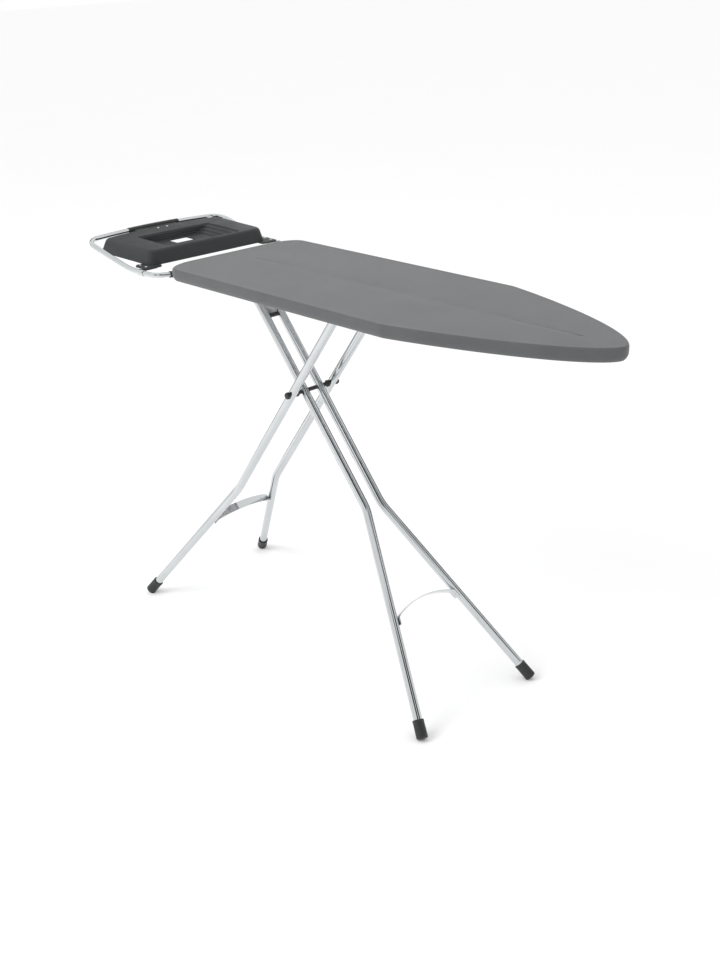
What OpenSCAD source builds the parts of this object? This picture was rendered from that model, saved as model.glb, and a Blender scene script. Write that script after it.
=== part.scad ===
// Folding ironing board: a padded, fabric covered steel deck on crossed tubular legs.
// Millimetres, +Z up. The origin is on the floor under the middle of the whole object.
// +X points to the nose, -X to the tail with the iron rest, and y = 0 is the plane of symmetry.

/* [Deck] */
// Length of the covered deck, tail edge to nose tip
deck_length = 1216; // [1180:2:1240]
// Width of the covered deck
deck_width = 407; // [395:1:416]
// Height of the covered deck top above the floor
deck_top_z = 958; // [950:1:966]
// Height of the covered side of the deck
deck_edge_h = 29; // [28:0.5:30]
// Length of the two rounded tail corners along the board
tail_corner_x = 50; // [40:5:80]
// Width of the two rounded tail corners across the board
tail_corner_y = 82; // [60:2:100]
// Length of the tapering nose
nose_length = 457; // [430:1:480]
// Thickness of the fabric cover as modelled
cover_t = 2; // [1.5:0.5:2.5]
// Thickness of the foam pad
pad_t = 6; // [5:0.5:7]

/* [Legs] */
// Outside diameter of the leg tubes
leg_d = 21; // [20:0.5:22]
// Wall thickness of the leg tubes
leg_wall = 1.2; // [1:0.1:1.5]
// Height of the crossing pivot above the floor
pivot_z = 665.6; // [660:0.2:671]
// Slope angle of the inner legs from the horizontal
inner_slope = 50.1; // [49.6:0.1:50.6]
// Slope angle of the outer legs from the horizontal
outer_slope = 52.5; // [52:0.1:53]
// Height at which the inner tubes start to splay
inner_bend_z = 415; // [400:5:430]
// Height at which the outer tubes start to splay
outer_bend_z = 347; // [335:1:360]
// Half distance between the inner tubes above their bend
inner_half = 24.4; // [24:0.2:25]
// Half distance between the outer tubes above their bend
outer_half = 63.3; // [63:0.1:65]
// Half distance between the inner feet
inner_foot_half = 188.8; // [180:0.2:196]
// Half distance between the outer feet
outer_foot_half = 201.6; // [192:0.2:208]
// Bend radius of the leg tubes
leg_bend_r = 110; // [90:10:130]
// Diameter of the foot caps
foot_d = 27; // [26:0.5:28]
// Length of the foot caps
foot_length = 43; // [38:1:48]

/* [Iron rest] */
// Diameter of the hoop tube
hoop_d = 12; // [11:0.5:13]
// Tilt of the outer part of the hoop, rising away from the deck
hoop_tilt = 12.5; // [11:0.5:14]
// Reach of the hoop along its tilted plane, from the upward bend to its outer stretch
hoop_reach = 214; // [206:1:222]
// Half width of the hoop between its straight legs
hoop_half = 213.7; // [211:0.1:217]
// Tilt of the tray, rising away from the deck
tray_tilt = 1.1; // [0.5:0.1:2]
// Length of the tray top along the board, measured to its outer corners
tray_length = 206; // [200:1:210]
// How far the tray's outer edge bows out between its corners
tray_bow = 14; // [10:1:16]
// Half width of the tray top at the edge next to the deck
tray_inner_half = 175; // [170:0.5:178]
// Half width of the tray top at the edge away from the deck
tray_outer_half = 180; // [175:0.5:183]
// Height of the tray skirt
tray_h = 36; // [34:0.5:38]

/* [Hidden] */
$fn = 48;

// A thin overlap that makes cuts run clean through a face
eps = 0.1;

// A bend is swaged this much over the straight bars that are seated in its ends
swage = 0.02;
leg_swage = 0.15;
seat = 0.5;

// Place of the crossing pivot along X, which centres the whole object on the origin
pivot_x = -141;

// Outline of the deck
half_width = deck_width / 2;
tail_x = pivot_x - 295;
nose_x = tail_x + deck_length;
nose_start_x = nose_x - nose_length;
nose_power_x = 1.08;
nose_power_y = 1.7;
nose_step = 4;
corner_step = 9;

// Levels of the deck layers
edge_z = deck_top_z - deck_edge_h;
pad_top_z = deck_top_z - cover_t;
plate_top_z = pad_top_z - pad_t;
plate_t = 1.2;
plate_z = plate_top_z - plate_t;
rim_inset = cover_t + 0.6;
rim_t = 1.5;
rim_low_inset = 9;
rim_step_z = edge_z + 7;
rim_flange = 6;
hem_reach = 16;
hem_t = 1.4;

// Cross members under the plate, and the axles that hang below them
member_z = 929;
member_w = 30;
member_t = 1.5;
member_half = half_width - hem_reach - 4;
tail_member_half = member_half - 37;
nose_member_half = member_half - 18;
tail_member_x = pivot_x - 245;
mid_member_x = pivot_x + 150;
nose_member_x = pivot_x + 485;
axle_z = 918.5;
axle_d = 8;
running_gap = 0.05;
tail_axle_x = pivot_x - (axle_z - pivot_z) / tan(inner_slope);
slide_axle_x = pivot_x + (axle_z - pivot_z) / tan(outer_slope);

// Tracks in which the sliding axle travels
track_x0 = mid_member_x - member_w / 2;
track_x1 = nose_member_x + member_w / 2;
track_y = 78;
track_w = 17;
track_h = 21;
track_t = 1.5;
roller_d = 15;
roller_w = 10;

// Hinge bracket near the tail
ear_y = 37.5;
ear_t = 2.5;
ear_r = 10;

// Height lever: a rod along the board with a comb on one side and a grip on the other
lever_y = -50;
lever_z = 938.5;
rod_d = 7;
comb_y = -13;
comb_t = 3;
comb_tip_z = 924.5;
comb_notch_w = 9.5;
comb_notch_h = 8;
comb_pitch = 42;
comb_notches = 6;
comb_x0 = slide_axle_x - 14;
comb_x1 = slide_axle_x + comb_pitch * (comb_notches - 1) + 14;
lever_arm_x = nose_member_x + 38;
lever_grip_y = -108;
lever_grip_len = 44;
spring_wire_d = 1.6;
spring_turns = 6;
spring_pitch = 2.1;
spring_r = rod_d / 2 + 1.6;

// Leg frames: distances along the slope, measured down from the pivot
inner_top_s = -(axle_z - pivot_z) / sin(inner_slope);
inner_bend_s = (pivot_z - inner_bend_z) / sin(inner_slope);
inner_foot_s = pivot_z / sin(inner_slope);
outer_top_s = -(axle_z - pivot_z) / sin(outer_slope);
outer_bend_s = (pivot_z - outer_bend_z) / sin(outer_slope);
outer_foot_s = pivot_z / sin(outer_slope);
tube_overrun = 8;
inner_splay = atan((inner_foot_half - inner_half) / (inner_foot_s - inner_bend_s));
outer_splay = atan((outer_foot_half - outer_half) / (outer_foot_s - outer_bend_s));
foot_end = 8;
foot_wall = 5;

// Arched straps that tie the lower tubes of each frame
strap_w = 22;
strap_tab_w = 21.6;
strap_t = 2;
strap_rise = 20;
inner_strap_z = 213;
outer_strap_z = 255;
strap_tab = 20;
rivet_d = 5;
rivet_head_d = 9;

// Stiffening plate and spacer bolt between the inner tubes near the top
cross_z = 826;
cross_spacer_d = 11;

// Pivot fittings
spacer_d = 10;
bush_flange_d = 17;
bush_flange_t = 6;
pivot_cap_d = 17;
pivot_cap_t = 9;
side_gap = 0.4;

// Hoop: a level inner part on a slightly rolled plane, then an upward bend in each leg and
// a tilted outer part. u runs outwards along the tilted plane from the bend, v along Y.
hoop_x = pivot_x - 422.5;
hoop_z = 932.9;
hoop_r = hoop_d / 2;
hoop_bend_r = 300;
bend_trim = hoop_bend_r * tan(hoop_tilt / 2);
hoop_corner_r = 39.7;
hoop_bow_r = 1492;
bow_centre_u = hoop_reach - hoop_bow_r;
corner_v = hoop_half - hoop_corner_r;
corner_u = bow_centre_u + sqrt(pow(hoop_bow_r - hoop_corner_r, 2) - pow(corner_v, 2));
bow_corner = asin(corner_v / (hoop_bow_r - hoop_corner_r));
bow_seat = seat / hoop_bow_r * 180 / PI;

// Level part of the hoop: its plane is rolled inwards and down about the leg
hoop_roll = 6.5;
hoop_inner_x = pivot_x - 323.5;
hoop_elbow_r = 24;
hoop_entry_half = 112;
hoop_entry_r = 30;
entry_depth = (hoop_half - hoop_entry_half) / cos(hoop_roll);
entry_z = hoop_z - entry_depth * sin(hoop_roll);
sleeve_at = 47;
sleeve_w = 11;

// Saddle clamps that hold the hoop's ends up against the tail cross member
clamp_w = 22;
clamp_reach = 14;
clamp_t = 2;

// Grip on the outer stretch of the hoop
grip_half = 80;
grip_d = 14.5;
grip_angle = asin(grip_half / hoop_bow_r);

// Iron rest tray, in its own tilted frame with its inner top edge at the origin
tray_x = pivot_x - 383.9;
tray_z = 978.1;
tray_draft = 8;
tray_outer_draft = 16;
tray_corner_r = 20;
tray_bow_half = 75;
tray_wall = 2.6;
pan_x0 = 12;
pan_x1 = 154;
pan_half = 113;
pan_floor_half = 75;
pan_slope = 4;
pan_depth = 21;
hole_x0 = 96;
hole_x1 = 138;
hole_half = 29;

// Lugs at the tray's ends, and the steel clips under them that loop round the hoop
lug_x0 = -22;
lug_length = 50;
lug_y0 = 158;
lug_y1 = 207;
lug_t = 4.2;
lug_z = -tray_h - 2.3;
clip_t = 1.6;
clip_y0 = 174;
clip_y1 = 211;
clip_w = 18;
rivet_y = 197;

// Flange of the grip, which enters a slot in the tray's skirt and is screwed under its top
flange_x0 = 192;
flange_x1 = 243.5;
flange_half = 66;
flange_t = 3.5;
flange_z = -tray_wall - 0.2 - flange_t;
grip_screw_x = 201;
grip_screw_y = 14;

// Colours
steel = [0.78, 0.79, 0.80];
black = [0.16, 0.17, 0.17];
grey = [0.49, 0.50, 0.50];
tray_grey = [0.23, 0.25, 0.26];
foam = [0.86, 0.84, 0.78];

// One point of the nose curve: a is 0 at the widest place and 90 at the tip
function nose_point(a) = [
    nose_start_x + nose_length * pow(sin(a), 2 / nose_power_x),
    half_width * pow(max(cos(a), 0), 2 / nose_power_y)
];

// One point of the tail corner: a is 90 on the long side and 180 on the tail edge
function corner_point(a) = [
    tail_x + tail_corner_x + tail_corner_x * cos(a),
    half_width - tail_corner_y + tail_corner_y * sin(a)
];

// Half of the deck's outline with y > 0, from the nose to the tail
half_outline = concat(
    [for (a = [84 : -nose_step : 0]) nose_point(a)],
    [for (a = [90 : corner_step : 180]) corner_point(a)]
);
outline = concat(
    [[nose_x, 0]],
    half_outline,
    [for (i = [len(half_outline) - 1 : -1 : 0]) [half_outline[i][0], -half_outline[i][1]]]
);

// Outline moved inwards by a distance, each point along the bisector of its two sides
function outward(p, q) = let (d = (q - p) / norm(q - p)) [d[1], -d[0]];
function inset_point(p, q, r, distance) =
    let (a = outward(p, q), b = outward(q, r))
    q - (a + b) * distance / (1 + a * b);
function inset_outline(distance) = let (count = len(outline)) [
    for (i = [0 : count - 1])
        inset_point(outline[(i + count - 1) % count], outline[i], outline[(i + 1) % count],
            distance)
];

// Flat slab with the deck's outline
module deck_slab(inset, z0, z1) {
    translate([0, 0, z0])
        linear_extrude(z1 - z0)
            polygon(inset_outline(inset));
}

// Cylinder along an axis, from one value to another on it
module rod_x(x0, x1, d) translate([x0, 0, 0]) rotate([0, 90, 0]) cylinder(h = x1 - x0, d = d);
module rod_y(y0, y1, d) translate([0, y0, 0]) rotate([-90, 0, 0]) cylinder(h = y1 - y0, d = d);

// Solid arc of a round bar in the XY plane, between two angles
module arc_bar(centre, radius, a0, a1, d, turn_fn = 96) {
    translate([centre[0], centre[1], 0])
        rotate([0, 0, a0])
            rotate_extrude(angle = a1 - a0, $fn = turn_fn)
                translate([radius, 0])
                    circle(d = d, $fn = 48);
}

// Straight round bar in the XY plane between two points, seated in what it meets at both
module bar(p, q, d) {
    translate([p[0], p[1], 0])
        rotate([0, 0, atan2(q[1] - p[1], q[0] - p[0])])
            rod_x(-seat, norm(q - p) + seat, d);
}

// Frames of reference: x runs down the leg from the pivot, z points outwards and up
module inner_frame() {
    translate([pivot_x, 0, pivot_z])
        rotate([0, inner_slope, 0])
            children();
}
module outer_frame() {
    translate([pivot_x, 0, pivot_z])
        mirror([1, 0, 0])
            rotate([0, outer_slope, 0])
                children();
}

// Straight hollow tube along X
module tube_x(x0, x1, d, wall) {
    difference() {
        rod_x(x0, x1, d);
        rod_x(x0 - 1, x1 + 1, d - 2 * wall);
    }
}

// Hollow arc of a tube in the XY plane, between two angles
module arc_tube(centre, radius, a0, a1, d, wall) {
    translate([centre[0], centre[1], 0])
        rotate([0, 0, a0])
            rotate_extrude(angle = a1 - a0, $fn = 96)
                translate([radius, 0])
                    difference() {
                        circle(d = d);
                        circle(d = d - 2 * wall);
                    }
}

// Hollow bent leg tube with bores for the top axle and the pivot axle; child 0 is cut
// from its lower part
module leg_tube(top_s, bend_s, foot_s, upper_y, splay) {
    trim = leg_bend_r * tan(splay / 2);
    bend_centre = [bend_s - trim, upper_y + leg_bend_r];
    lower_length = (foot_s - bend_s) / cos(splay) - trim - foot_end - foot_wall;
    difference() {
        translate([0, upper_y, 0])
            tube_x(top_s - tube_overrun, bend_s - trim + seat, leg_d, leg_wall);
        for (s = [top_s, 0])
            translate([s, upper_y - leg_d, 0])
                rod_y(0, 2 * leg_d, axle_d + 2 * running_gap);
    }
    arc_tube(bend_centre, leg_bend_r, -90, splay - 90, leg_d + 2 * leg_swage,
        leg_wall + 2 * leg_swage);
    difference() {
        translate([bend_centre[0], bend_centre[1], 0])
            rotate([0, 0, splay])
                translate([0, -leg_bend_r, 0])
                    tube_x(-seat, lower_length, leg_d, leg_wall);
        children();
    }
}

// Places its children at the foot of a leg, x pointing down along the lower tube
module at_foot(bend_s, foot_s, upper_y, splay) {
    translate([foot_s, upper_y + (foot_s - bend_s) * tan(splay), 0])
        rotate([0, 0, splay])
            children();
}

// Foot cap: a closed plastic cup over the tube's end, cut flat where it meets the floor
module foot_shape(bend_s, foot_s, upper_y, splay) {
    chamfer = 2;
    at_foot(bend_s, foot_s, upper_y, splay)
        translate([-foot_end - foot_length, 0, 0])
            rotate([0, 90, 0])
                difference() {
                    union() {
                        cylinder(h = foot_length - chamfer, d = foot_d);
                        translate([0, 0, foot_length - chamfer])
                            cylinder(h = chamfer, d1 = foot_d, d2 = foot_d - 2 * chamfer);
                    }
                    translate([0, 0, -eps])
                        cylinder(h = foot_length - foot_wall + eps, d = leg_d + 2 * running_gap);
                }
}

// Removes whatever lies below the floor
module above_floor() {
    intersection() {
        children();
        translate([-1000, -500, 0])
            cube([2000, 1000, 500]);
    }
}

// --- Soft layers of the deck ---

module fabric_cover() {
    color(grey)
        difference() {
            deck_slab(0, edge_z - hem_t, deck_top_z);
            deck_slab(cover_t, edge_z, pad_top_z);
            deck_slab(hem_reach, edge_z - hem_t - eps, edge_z + eps);
        }
}

module cover_elastic() {
    color(black)
        difference() {
            deck_slab(hem_reach + 0.2, edge_z - hem_t, edge_z + 0.6);
            deck_slab(hem_reach + 2.6, edge_z - hem_t - eps, edge_z + 0.6 + eps);
        }
}

module foam_pad() {
    color(foam)
        deck_slab(cover_t + 0.3, plate_top_z, pad_top_z);
}

// --- Steel deck ---

vent_d = 16;
vent_pitch_x = 44;
vent_pitch_y = 38;
vent_rows = 4;
vent_margin = 26;

// Half width of the deck at a place along X in the nose
function nose_half(x) =
    x <= nose_start_x ? half_width
    : half_width * pow(1 - pow((x - nose_start_x) / nose_length, nose_power_x), 1 / nose_power_y);

module deck_plate() {
    color(steel)
        difference() {
            deck_slab(rim_inset, plate_z, plate_top_z);
            for (i = [0 : 25], j = [-vent_rows : vent_rows]) {
                x = tail_x + 50 + i * vent_pitch_x;
                y = (j + (i % 2) * 0.5) * vent_pitch_y;
                half = min(nose_half(x + vent_d), half_width - 12);
                if (abs(y) < half - vent_margin)
                    translate([x, y, plate_z - eps])
                        cylinder(h = plate_t + 2 * eps, d = vent_d, $fn = 24);
            }
        }
}

module deck_rim() {
    color(steel)
        difference() {
            deck_slab(rim_inset, edge_z, plate_z);
            difference() {
                deck_slab(0, edge_z - eps, rim_step_z);
                deck_slab(rim_low_inset, edge_z - 2 * eps, rim_step_z + eps);
            }
            deck_slab(rim_inset + rim_t, rim_step_z + rim_t, plate_z + eps);
            deck_slab(rim_low_inset + rim_t, edge_z + rim_t, plate_z + eps);
            deck_slab(rim_low_inset + rim_flange, edge_z - eps, plate_z + eps);
        }
}

// Pressed channel across the deck, open upwards against the plate
module cross_member(x, half_len) {
    translate([x - member_w / 2, -half_len, member_z])
        difference() {
            cube([member_w, 2 * half_len, plate_z - member_z]);
            translate([member_t, -eps, member_t])
                cube([member_w - 2 * member_t, 2 * half_len + 2 * eps, plate_z - member_z]);
        }
}

// Bearing holes for the lever rod through a cross member
module lever_bearing(x) {
    translate([0, lever_y, lever_z])
        rod_x(x - member_w, x + member_w, rod_d + 2 * running_gap);
}

module tail_cross_member() {
    color(steel)
        difference() {
            cross_member(tail_member_x, tail_member_half);
            clamp_holes();
        }
}

module mid_cross_member() {
    color(steel)
        difference() {
            cross_member(mid_member_x, member_half);
            lever_bearing(mid_member_x);
        }
}

module nose_cross_member() {
    color(steel)
        difference() {
            cross_member(nose_member_x, nose_member_half);
            lever_bearing(nose_member_x);
        }
}

// Channel open towards the middle, in which one end of the sliding axle travels
module track(side) {
    color(steel)
        scale([1, side, 1])
            translate([track_x0, track_y, member_z - track_h])
                difference() {
                    cube([track_x1 - track_x0, track_w, track_h]);
                    translate([-eps, -eps, track_t])
                        cube([track_x1 - track_x0 + 2 * eps, track_w - track_t,
                            track_h - 2 * track_t]);
                }
}

module track_left() track(1);
module track_right() track(-1);

// --- Fixed hinge near the tail ---

module tail_hinge_bracket() {
    base_x0 = tail_member_x - member_w / 2;
    base_x1 = tail_member_x + member_w / 2;
    color(steel)
        difference() {
            union() {
                translate([base_x0, -ear_y - ear_t, member_z - ear_t])
                    cube([member_w, 2 * (ear_y + ear_t), ear_t]);
                for (side = [-1, 1])
                    translate([0, side > 0 ? ear_y : -ear_y - ear_t, 0]) {
                        translate([base_x0, 0, axle_z])
                            cube([tail_axle_x - base_x0, ear_t, member_z - ear_t - axle_z]);
                        translate([tail_axle_x - 22, 0, axle_z - ear_r])
                            cube([22, ear_t, ear_r]);
                        translate([tail_axle_x, 0, axle_z])
                            rod_y(0, ear_t, 2 * ear_r);
                    }
            }
            translate([tail_axle_x, -ear_y - 2 * ear_t, axle_z])
                rod_y(0, 2 * (ear_y + 2 * ear_t), axle_d + 2 * running_gap);
        }
}

module tail_hinge_axle() {
    head_y = ear_y + ear_t;
    color(steel)
        translate([tail_axle_x, 0, axle_z]) {
            rod_y(-head_y - 2.5, head_y + 2.5, axle_d);
            for (y = [-head_y - 2.7, head_y + 0.2])
                translate([0, y, 0])
                    rod_y(0, 2.5, 13);
        }
}

// --- Height lever ---

module lever_rod() {
    color(steel)
        translate([0, lever_y, lever_z])
            rod_x(mid_member_x - 28, lever_arm_x + 9, rod_d);
}

module lever_comb() {
    color(steel)
        difference() {
            union() {
                translate([comb_x0, comb_y, comb_tip_z])
                    cube([comb_x1 - comb_x0, comb_t, lever_z - comb_tip_z]);
                for (x = [comb_x0, comb_x1 - 12])
                    translate([x, lever_y, lever_z - 1.5])
                        cube([12, comb_y - lever_y + comb_t, 3]);
            }
            for (i = [0 : comb_notches - 1])
                translate([slide_axle_x + i * comb_pitch - comb_notch_w / 2, comb_y - eps,
                    comb_tip_z - eps])
                    cube([comb_notch_w, comb_t + 2 * eps, comb_notch_h]);
            translate([0, lever_y, lever_z])
                rod_x(comb_x0 - eps, comb_x1 + eps, rod_d);
        }
}

module lever_arm() {
    color(steel)
        difference() {
            union() {
                translate([lever_arm_x - 6, lever_grip_y - lever_grip_len + 6, lever_z - 1.5])
                    cube([12, lever_y - lever_grip_y + lever_grip_len - 6, 3]);
                translate([0, lever_y, lever_z])
                    rod_x(lever_arm_x - 6, lever_arm_x + 6, rod_d + 5);
            }
            translate([0, lever_y, lever_z])
                rod_x(lever_arm_x - 6 - eps, lever_arm_x + 6 + eps, rod_d);
        }
}

module lever_grip() {
    color(black)
        difference() {
            hull()
                for (x = [-5, 5], y = [lever_grip_y, lever_grip_y - lever_grip_len])
                    translate([lever_arm_x + x, y, lever_z - 5])
                        cylinder(h = 10, r = 5, $fn = 24);
            translate([lever_arm_x - 6, lever_grip_y - lever_grip_len + 6, lever_z - 1.5])
                cube([12, lever_grip_len + 20, 3]);
        }
}

// Coiled wire around the lever rod: rings of a polyhedron along a helix
function helix_ring(t, sides) =
    let (a = 360 * t, c = [spring_pitch * t, spring_r * cos(a), spring_r * sin(a)])
    [for (k = [0 : sides - 1]) let (b = 360 * k / sides)
        c + spring_wire_d / 2 * (cos(b) * [0, cos(a), sin(a)] + sin(b) * [1, 0, 0])];

module lever_spring() {
    sides = 8;
    steps_per_turn = 18;
    steps = spring_turns * steps_per_turn;
    points = [for (i = [0 : steps], p = helix_ring(i / steps_per_turn, sides)) p];
    walls = [for (i = [0 : steps - 1], k = [0 : sides - 1])
        [i * sides + k, i * sides + (k + 1) % sides,
            (i + 1) * sides + (k + 1) % sides, (i + 1) * sides + k]];
    first = [for (k = [sides - 1 : -1 : 0]) k];
    last = [for (k = [0 : sides - 1]) steps * sides + k];
    color(steel)
        translate([nose_member_x + member_w / 2 + 1.5, lever_y, lever_z])
            polyhedron(points, concat(walls, [first, last]), convexity = 8);
}

// --- Hoop and iron rest ---

// Tilted plane of the hoop: x runs outwards and up from the upward bend
module hoop_frame() {
    translate([hoop_x, 0, hoop_z])
        mirror([1, 0, 0])
            rotate([0, -hoop_tilt, 0])
                children();
}

// Rolled plane of the hoop's level part, y > 0: x runs along the leg and -y inwards
module level_frame() {
    translate([0, hoop_half, hoop_z])
        rotate([hoop_roll, 0, 0])
            children();
}

// One side of the hoop, y > 0: its tilted leg and corner, and the upward bend
module hoop_side_bar() {
    hoop_frame() {
        arc_bar([corner_u, corner_v], hoop_corner_r, bow_corner, 90, hoop_d + 2 * swage);
        bar([corner_u, hoop_half], [bend_trim, hoop_half], hoop_d);
    }
    translate([hoop_x + bend_trim, hoop_half, hoop_z + hoop_bend_r])
        rotate([90, 0, 0])
            arc_bar([0, 0], hoop_bend_r, 270 - hoop_tilt, 270, hoop_d + 2 * swage, 720);
}

// The level leg, the inner stretch and the end that runs in under the deck, y > 0
module hoop_level_bar() {
    elbow = [hoop_inner_x - hoop_elbow_r, -hoop_elbow_r];
    entry = [hoop_inner_x + hoop_entry_r, hoop_entry_r - entry_depth];
    level_frame() {
        bar([hoop_x + bend_trim, 0], [elbow[0], 0], hoop_d);
        arc_bar(elbow, hoop_elbow_r, 0, 90, hoop_d + 2 * swage);
        bar([hoop_inner_x, elbow[1]], [hoop_inner_x, entry[1]], hoop_d);
        arc_bar(entry, hoop_entry_r, 180, 270, hoop_d + 2 * swage);
        bar([entry[0], -entry_depth], [tail_member_x + 30, -entry_depth], hoop_d);
    }
}

module hoop_tube() {
    color(steel) {
        hoop_frame()
            arc_bar([bow_centre_u, 0], hoop_bow_r, -bow_corner - bow_seat, bow_corner + bow_seat,
                hoop_d, 1440);
        for (side = [-1, 1])
            scale([1, side, 1]) {
                hoop_side_bar();
                hoop_level_bar();
            }
    }
}

// Places of the screws that hold the two saddle clamps
clamp_screw_places = [for (side = [-1, 1], dy = [-clamp_reach, clamp_reach])
    [tail_member_x, side * (hoop_entry_half + dy)]];

module clamp_holes() {
    for (p = clamp_screw_places)
        translate([p[0], p[1], member_z - eps])
            cylinder(h = member_t + 2 * eps, d = 4.2, $fn = 24);
}

// Saddle open at the top, with a wing on each side that lies against the cross member
module hoop_clamps() {
    wall_half = hoop_r + clamp_t;
    wing_half = clamp_reach + 6;
    color(steel)
        for (side = [-1, 1])
            translate([tail_member_x - clamp_w / 2, side * hoop_entry_half, 0])
                difference() {
                    union() {
                        translate([0, -wing_half, member_z - clamp_t])
                            cube([clamp_w, 2 * wing_half, clamp_t]);
                        translate([0, -wall_half, entry_z])
                            cube([clamp_w, 2 * wall_half, member_z - entry_z]);
                        intersection() {
                            translate([0, 0, entry_z])
                                rod_x(0, clamp_w, 2 * wall_half);
                            translate([-eps, -2 * wall_half, entry_z - 2 * wall_half])
                                cube([clamp_w + 2 * eps, 4 * wall_half, 2 * wall_half]);
                        }
                    }
                    translate([0, 0, entry_z])
                        rod_x(-eps, clamp_w + eps, hoop_d + 2 * running_gap);
                    translate([-eps, -hoop_r, entry_z])
                        cube([clamp_w + 2 * eps, hoop_d, member_z + 1 - entry_z]);
                    for (dy = [-clamp_reach, clamp_reach])
                        translate([clamp_w / 2, dy, member_z - clamp_t - eps])
                            cylinder(h = clamp_t + 2 * eps, d = 4.2, $fn = 24);
                }
}

module clamp_screws() {
    color(steel)
        for (p = clamp_screw_places)
            translate([p[0], p[1], 0]) {
                translate([0, 0, member_z - clamp_t - 2.6])
                    cylinder(h = 2.6, d = 7.5, $fn = 24);
                translate([0, 0, member_z - clamp_t])
                    cylinder(h = 8, d = 4, $fn = 24);
            }
}

// Rubber sleeves on the inner stretch, next to the deck's tail corners
module hoop_sleeves() {
    color(black)
        for (side = [-1, 1])
            scale([1, side, 1])
                level_frame()
                    translate([hoop_inner_x, -sleeve_at - sleeve_w, 0])
                        difference() {
                            rod_y(0, sleeve_w, hoop_d + 4);
                            rod_y(-eps, sleeve_w + eps, hoop_d + 2 * running_gap);
                        }
}

// Tray's own frame: x runs outwards and up from the inner top edge, z = 0 is the top face
module tray_frame() {
    translate([tray_x, 0, tray_z])
        mirror([1, 0, 0])
            rotate([0, -tray_tilt, 0])
                children();
}

// Thin rounded plate of the tray's outline, spread by the draft at its depth
module tray_plate(inset, z) {
    spread = -z * tray_draft / tray_h - tray_corner_r;
    outer_spread = -z * tray_outer_draft / tray_h - tray_corner_r;
    places = [
        [-spread, tray_inner_half + spread],
        [tray_length + outer_spread, tray_outer_half + spread],
        [tray_length + tray_bow + outer_spread, tray_bow_half]
    ];
    for (side = [-1, 1], p = places)
        translate([p[0], side * p[1], z])
            cylinder(h = 0.01, r = tray_corner_r - inset, $fn = 32);
}

// Block with rounded corners whose sides spread towards the bottom
module tray_block(inset, z0, z1) {
    hull() {
        tray_plate(inset, z0);
        tray_plate(inset, z1);
    }
}

// Sunken pan with long ramps at its two ends, grown on all sides by a distance
module tray_pan(grow) {
    length = pan_x1 - pan_x0 + 2 * grow;
    hull() {
        translate([pan_x0 - grow, -pan_half - grow, 0])
            cube([length, 2 * (pan_half + grow), 1]);
        translate([pan_x0 + pan_slope - grow, -pan_floor_half - grow, -pan_depth - grow])
            cube([length - 2 * pan_slope, 2 * (pan_floor_half + grow), 0.01]);
    }
}

module iron_rest_tray() {
    color(tray_grey)
        tray_frame()
            difference() {
                union() {
                    difference() {
                        tray_block(0, -tray_h, 0);
                        difference() {
                            tray_block(tray_wall, -tray_h - 1, -tray_wall);
                            tray_pan(tray_wall);
                        }
                    }
                    for (y = [-lug_y1, lug_y0])
                        translate([lug_x0, y, lug_z])
                            cube([lug_length, lug_y1 - lug_y0, lug_t]);
                }
                tray_pan(0);
                translate([hole_x0, -hole_half, -tray_h])
                    cube([hole_x1 - hole_x0, 2 * hole_half, tray_h + 1]);
                translate([tray_length, -flange_half - 0.5, flange_z - 0.5])
                    cube([40, 2 * flange_half + 1, flange_t + 1.1]);
                grip_screw_holes();
                rivet_holes();
            }
}

module grip_screw_holes() {
    for (side = [-1, 1])
        translate([grip_screw_x, side * grip_screw_y, flange_z - 1])
            cylinder(h = 2 - flange_z, d = 4.2, $fn = 24);
}

// Places of the rivets in the tray's own frame
rivet_places = [for (side = [-1, 1], x = [-7, 18]) [x, side * rivet_y]];

module rivet_holes() {
    for (p = rivet_places)
        translate([p[0], p[1], lug_z - clip_t - 1])
            cylinder(h = lug_t + clip_t + 2, d = 4.2, $fn = 24);
}

// Clip loop round a level leg of the hoop, y > 0, or the bore for the leg
module clip_loop(x0, x1, d) {
    level_frame()
        rod_x(tray_x - x1, tray_x - x0, d);
}

// Strips riveted under the tray's lugs, looped round the hoop's level legs
module tray_clips() {
    loop_x = lug_x0 + 1;
    color(steel)
        for (side = [-1, 1])
            scale([1, side, 1])
                difference() {
                    union() {
                        tray_frame()
                            translate([loop_x, clip_y0, lug_z - clip_t]) {
                                cube([lug_length - 2, lug_y1 - 1 - clip_y0, clip_t]);
                                cube([clip_w, clip_y1 - clip_y0, clip_t]);
                            }
                        clip_loop(loop_x, loop_x + clip_w, hoop_d + 2 * clip_t);
                    }
                    clip_loop(loop_x - 5, loop_x + lug_length, hoop_d + 2 * running_gap);
                    tray_frame() rivet_holes();
                }
}

module tray_rivets() {
    color(steel)
        tray_frame()
            for (p = rivet_places)
                translate([p[0], p[1], lug_z - clip_t]) {
                    translate([0, 0, -2])
                        cylinder(h = 2, d = 7.5, $fn = 24);
                    cylinder(h = clip_t + lug_t, d = 4, $fn = 24);
                    translate([0, 0, clip_t + lug_t])
                        cylinder(h = 1.8, d = 8, $fn = 24);
                }
}

// Grip round the hoop with a flat flange that reaches in under the tray's top
module hoop_grip() {
    color(black)
        difference() {
            union() {
                hoop_frame()
                    arc_bar([bow_centre_u, 0], hoop_bow_r, -grip_angle, grip_angle, grip_d, 1440);
                tray_frame()
                    translate([flange_x0, -flange_half, flange_z])
                        cube([flange_x1 - flange_x0, 2 * flange_half, flange_t]);
            }
            hoop_frame()
                arc_bar([bow_centre_u, 0], hoop_bow_r, -2 * grip_angle, 2 * grip_angle,
                    hoop_d + 2 * running_gap, 1440);
            tray_frame() grip_screw_holes();
        }
}

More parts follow.
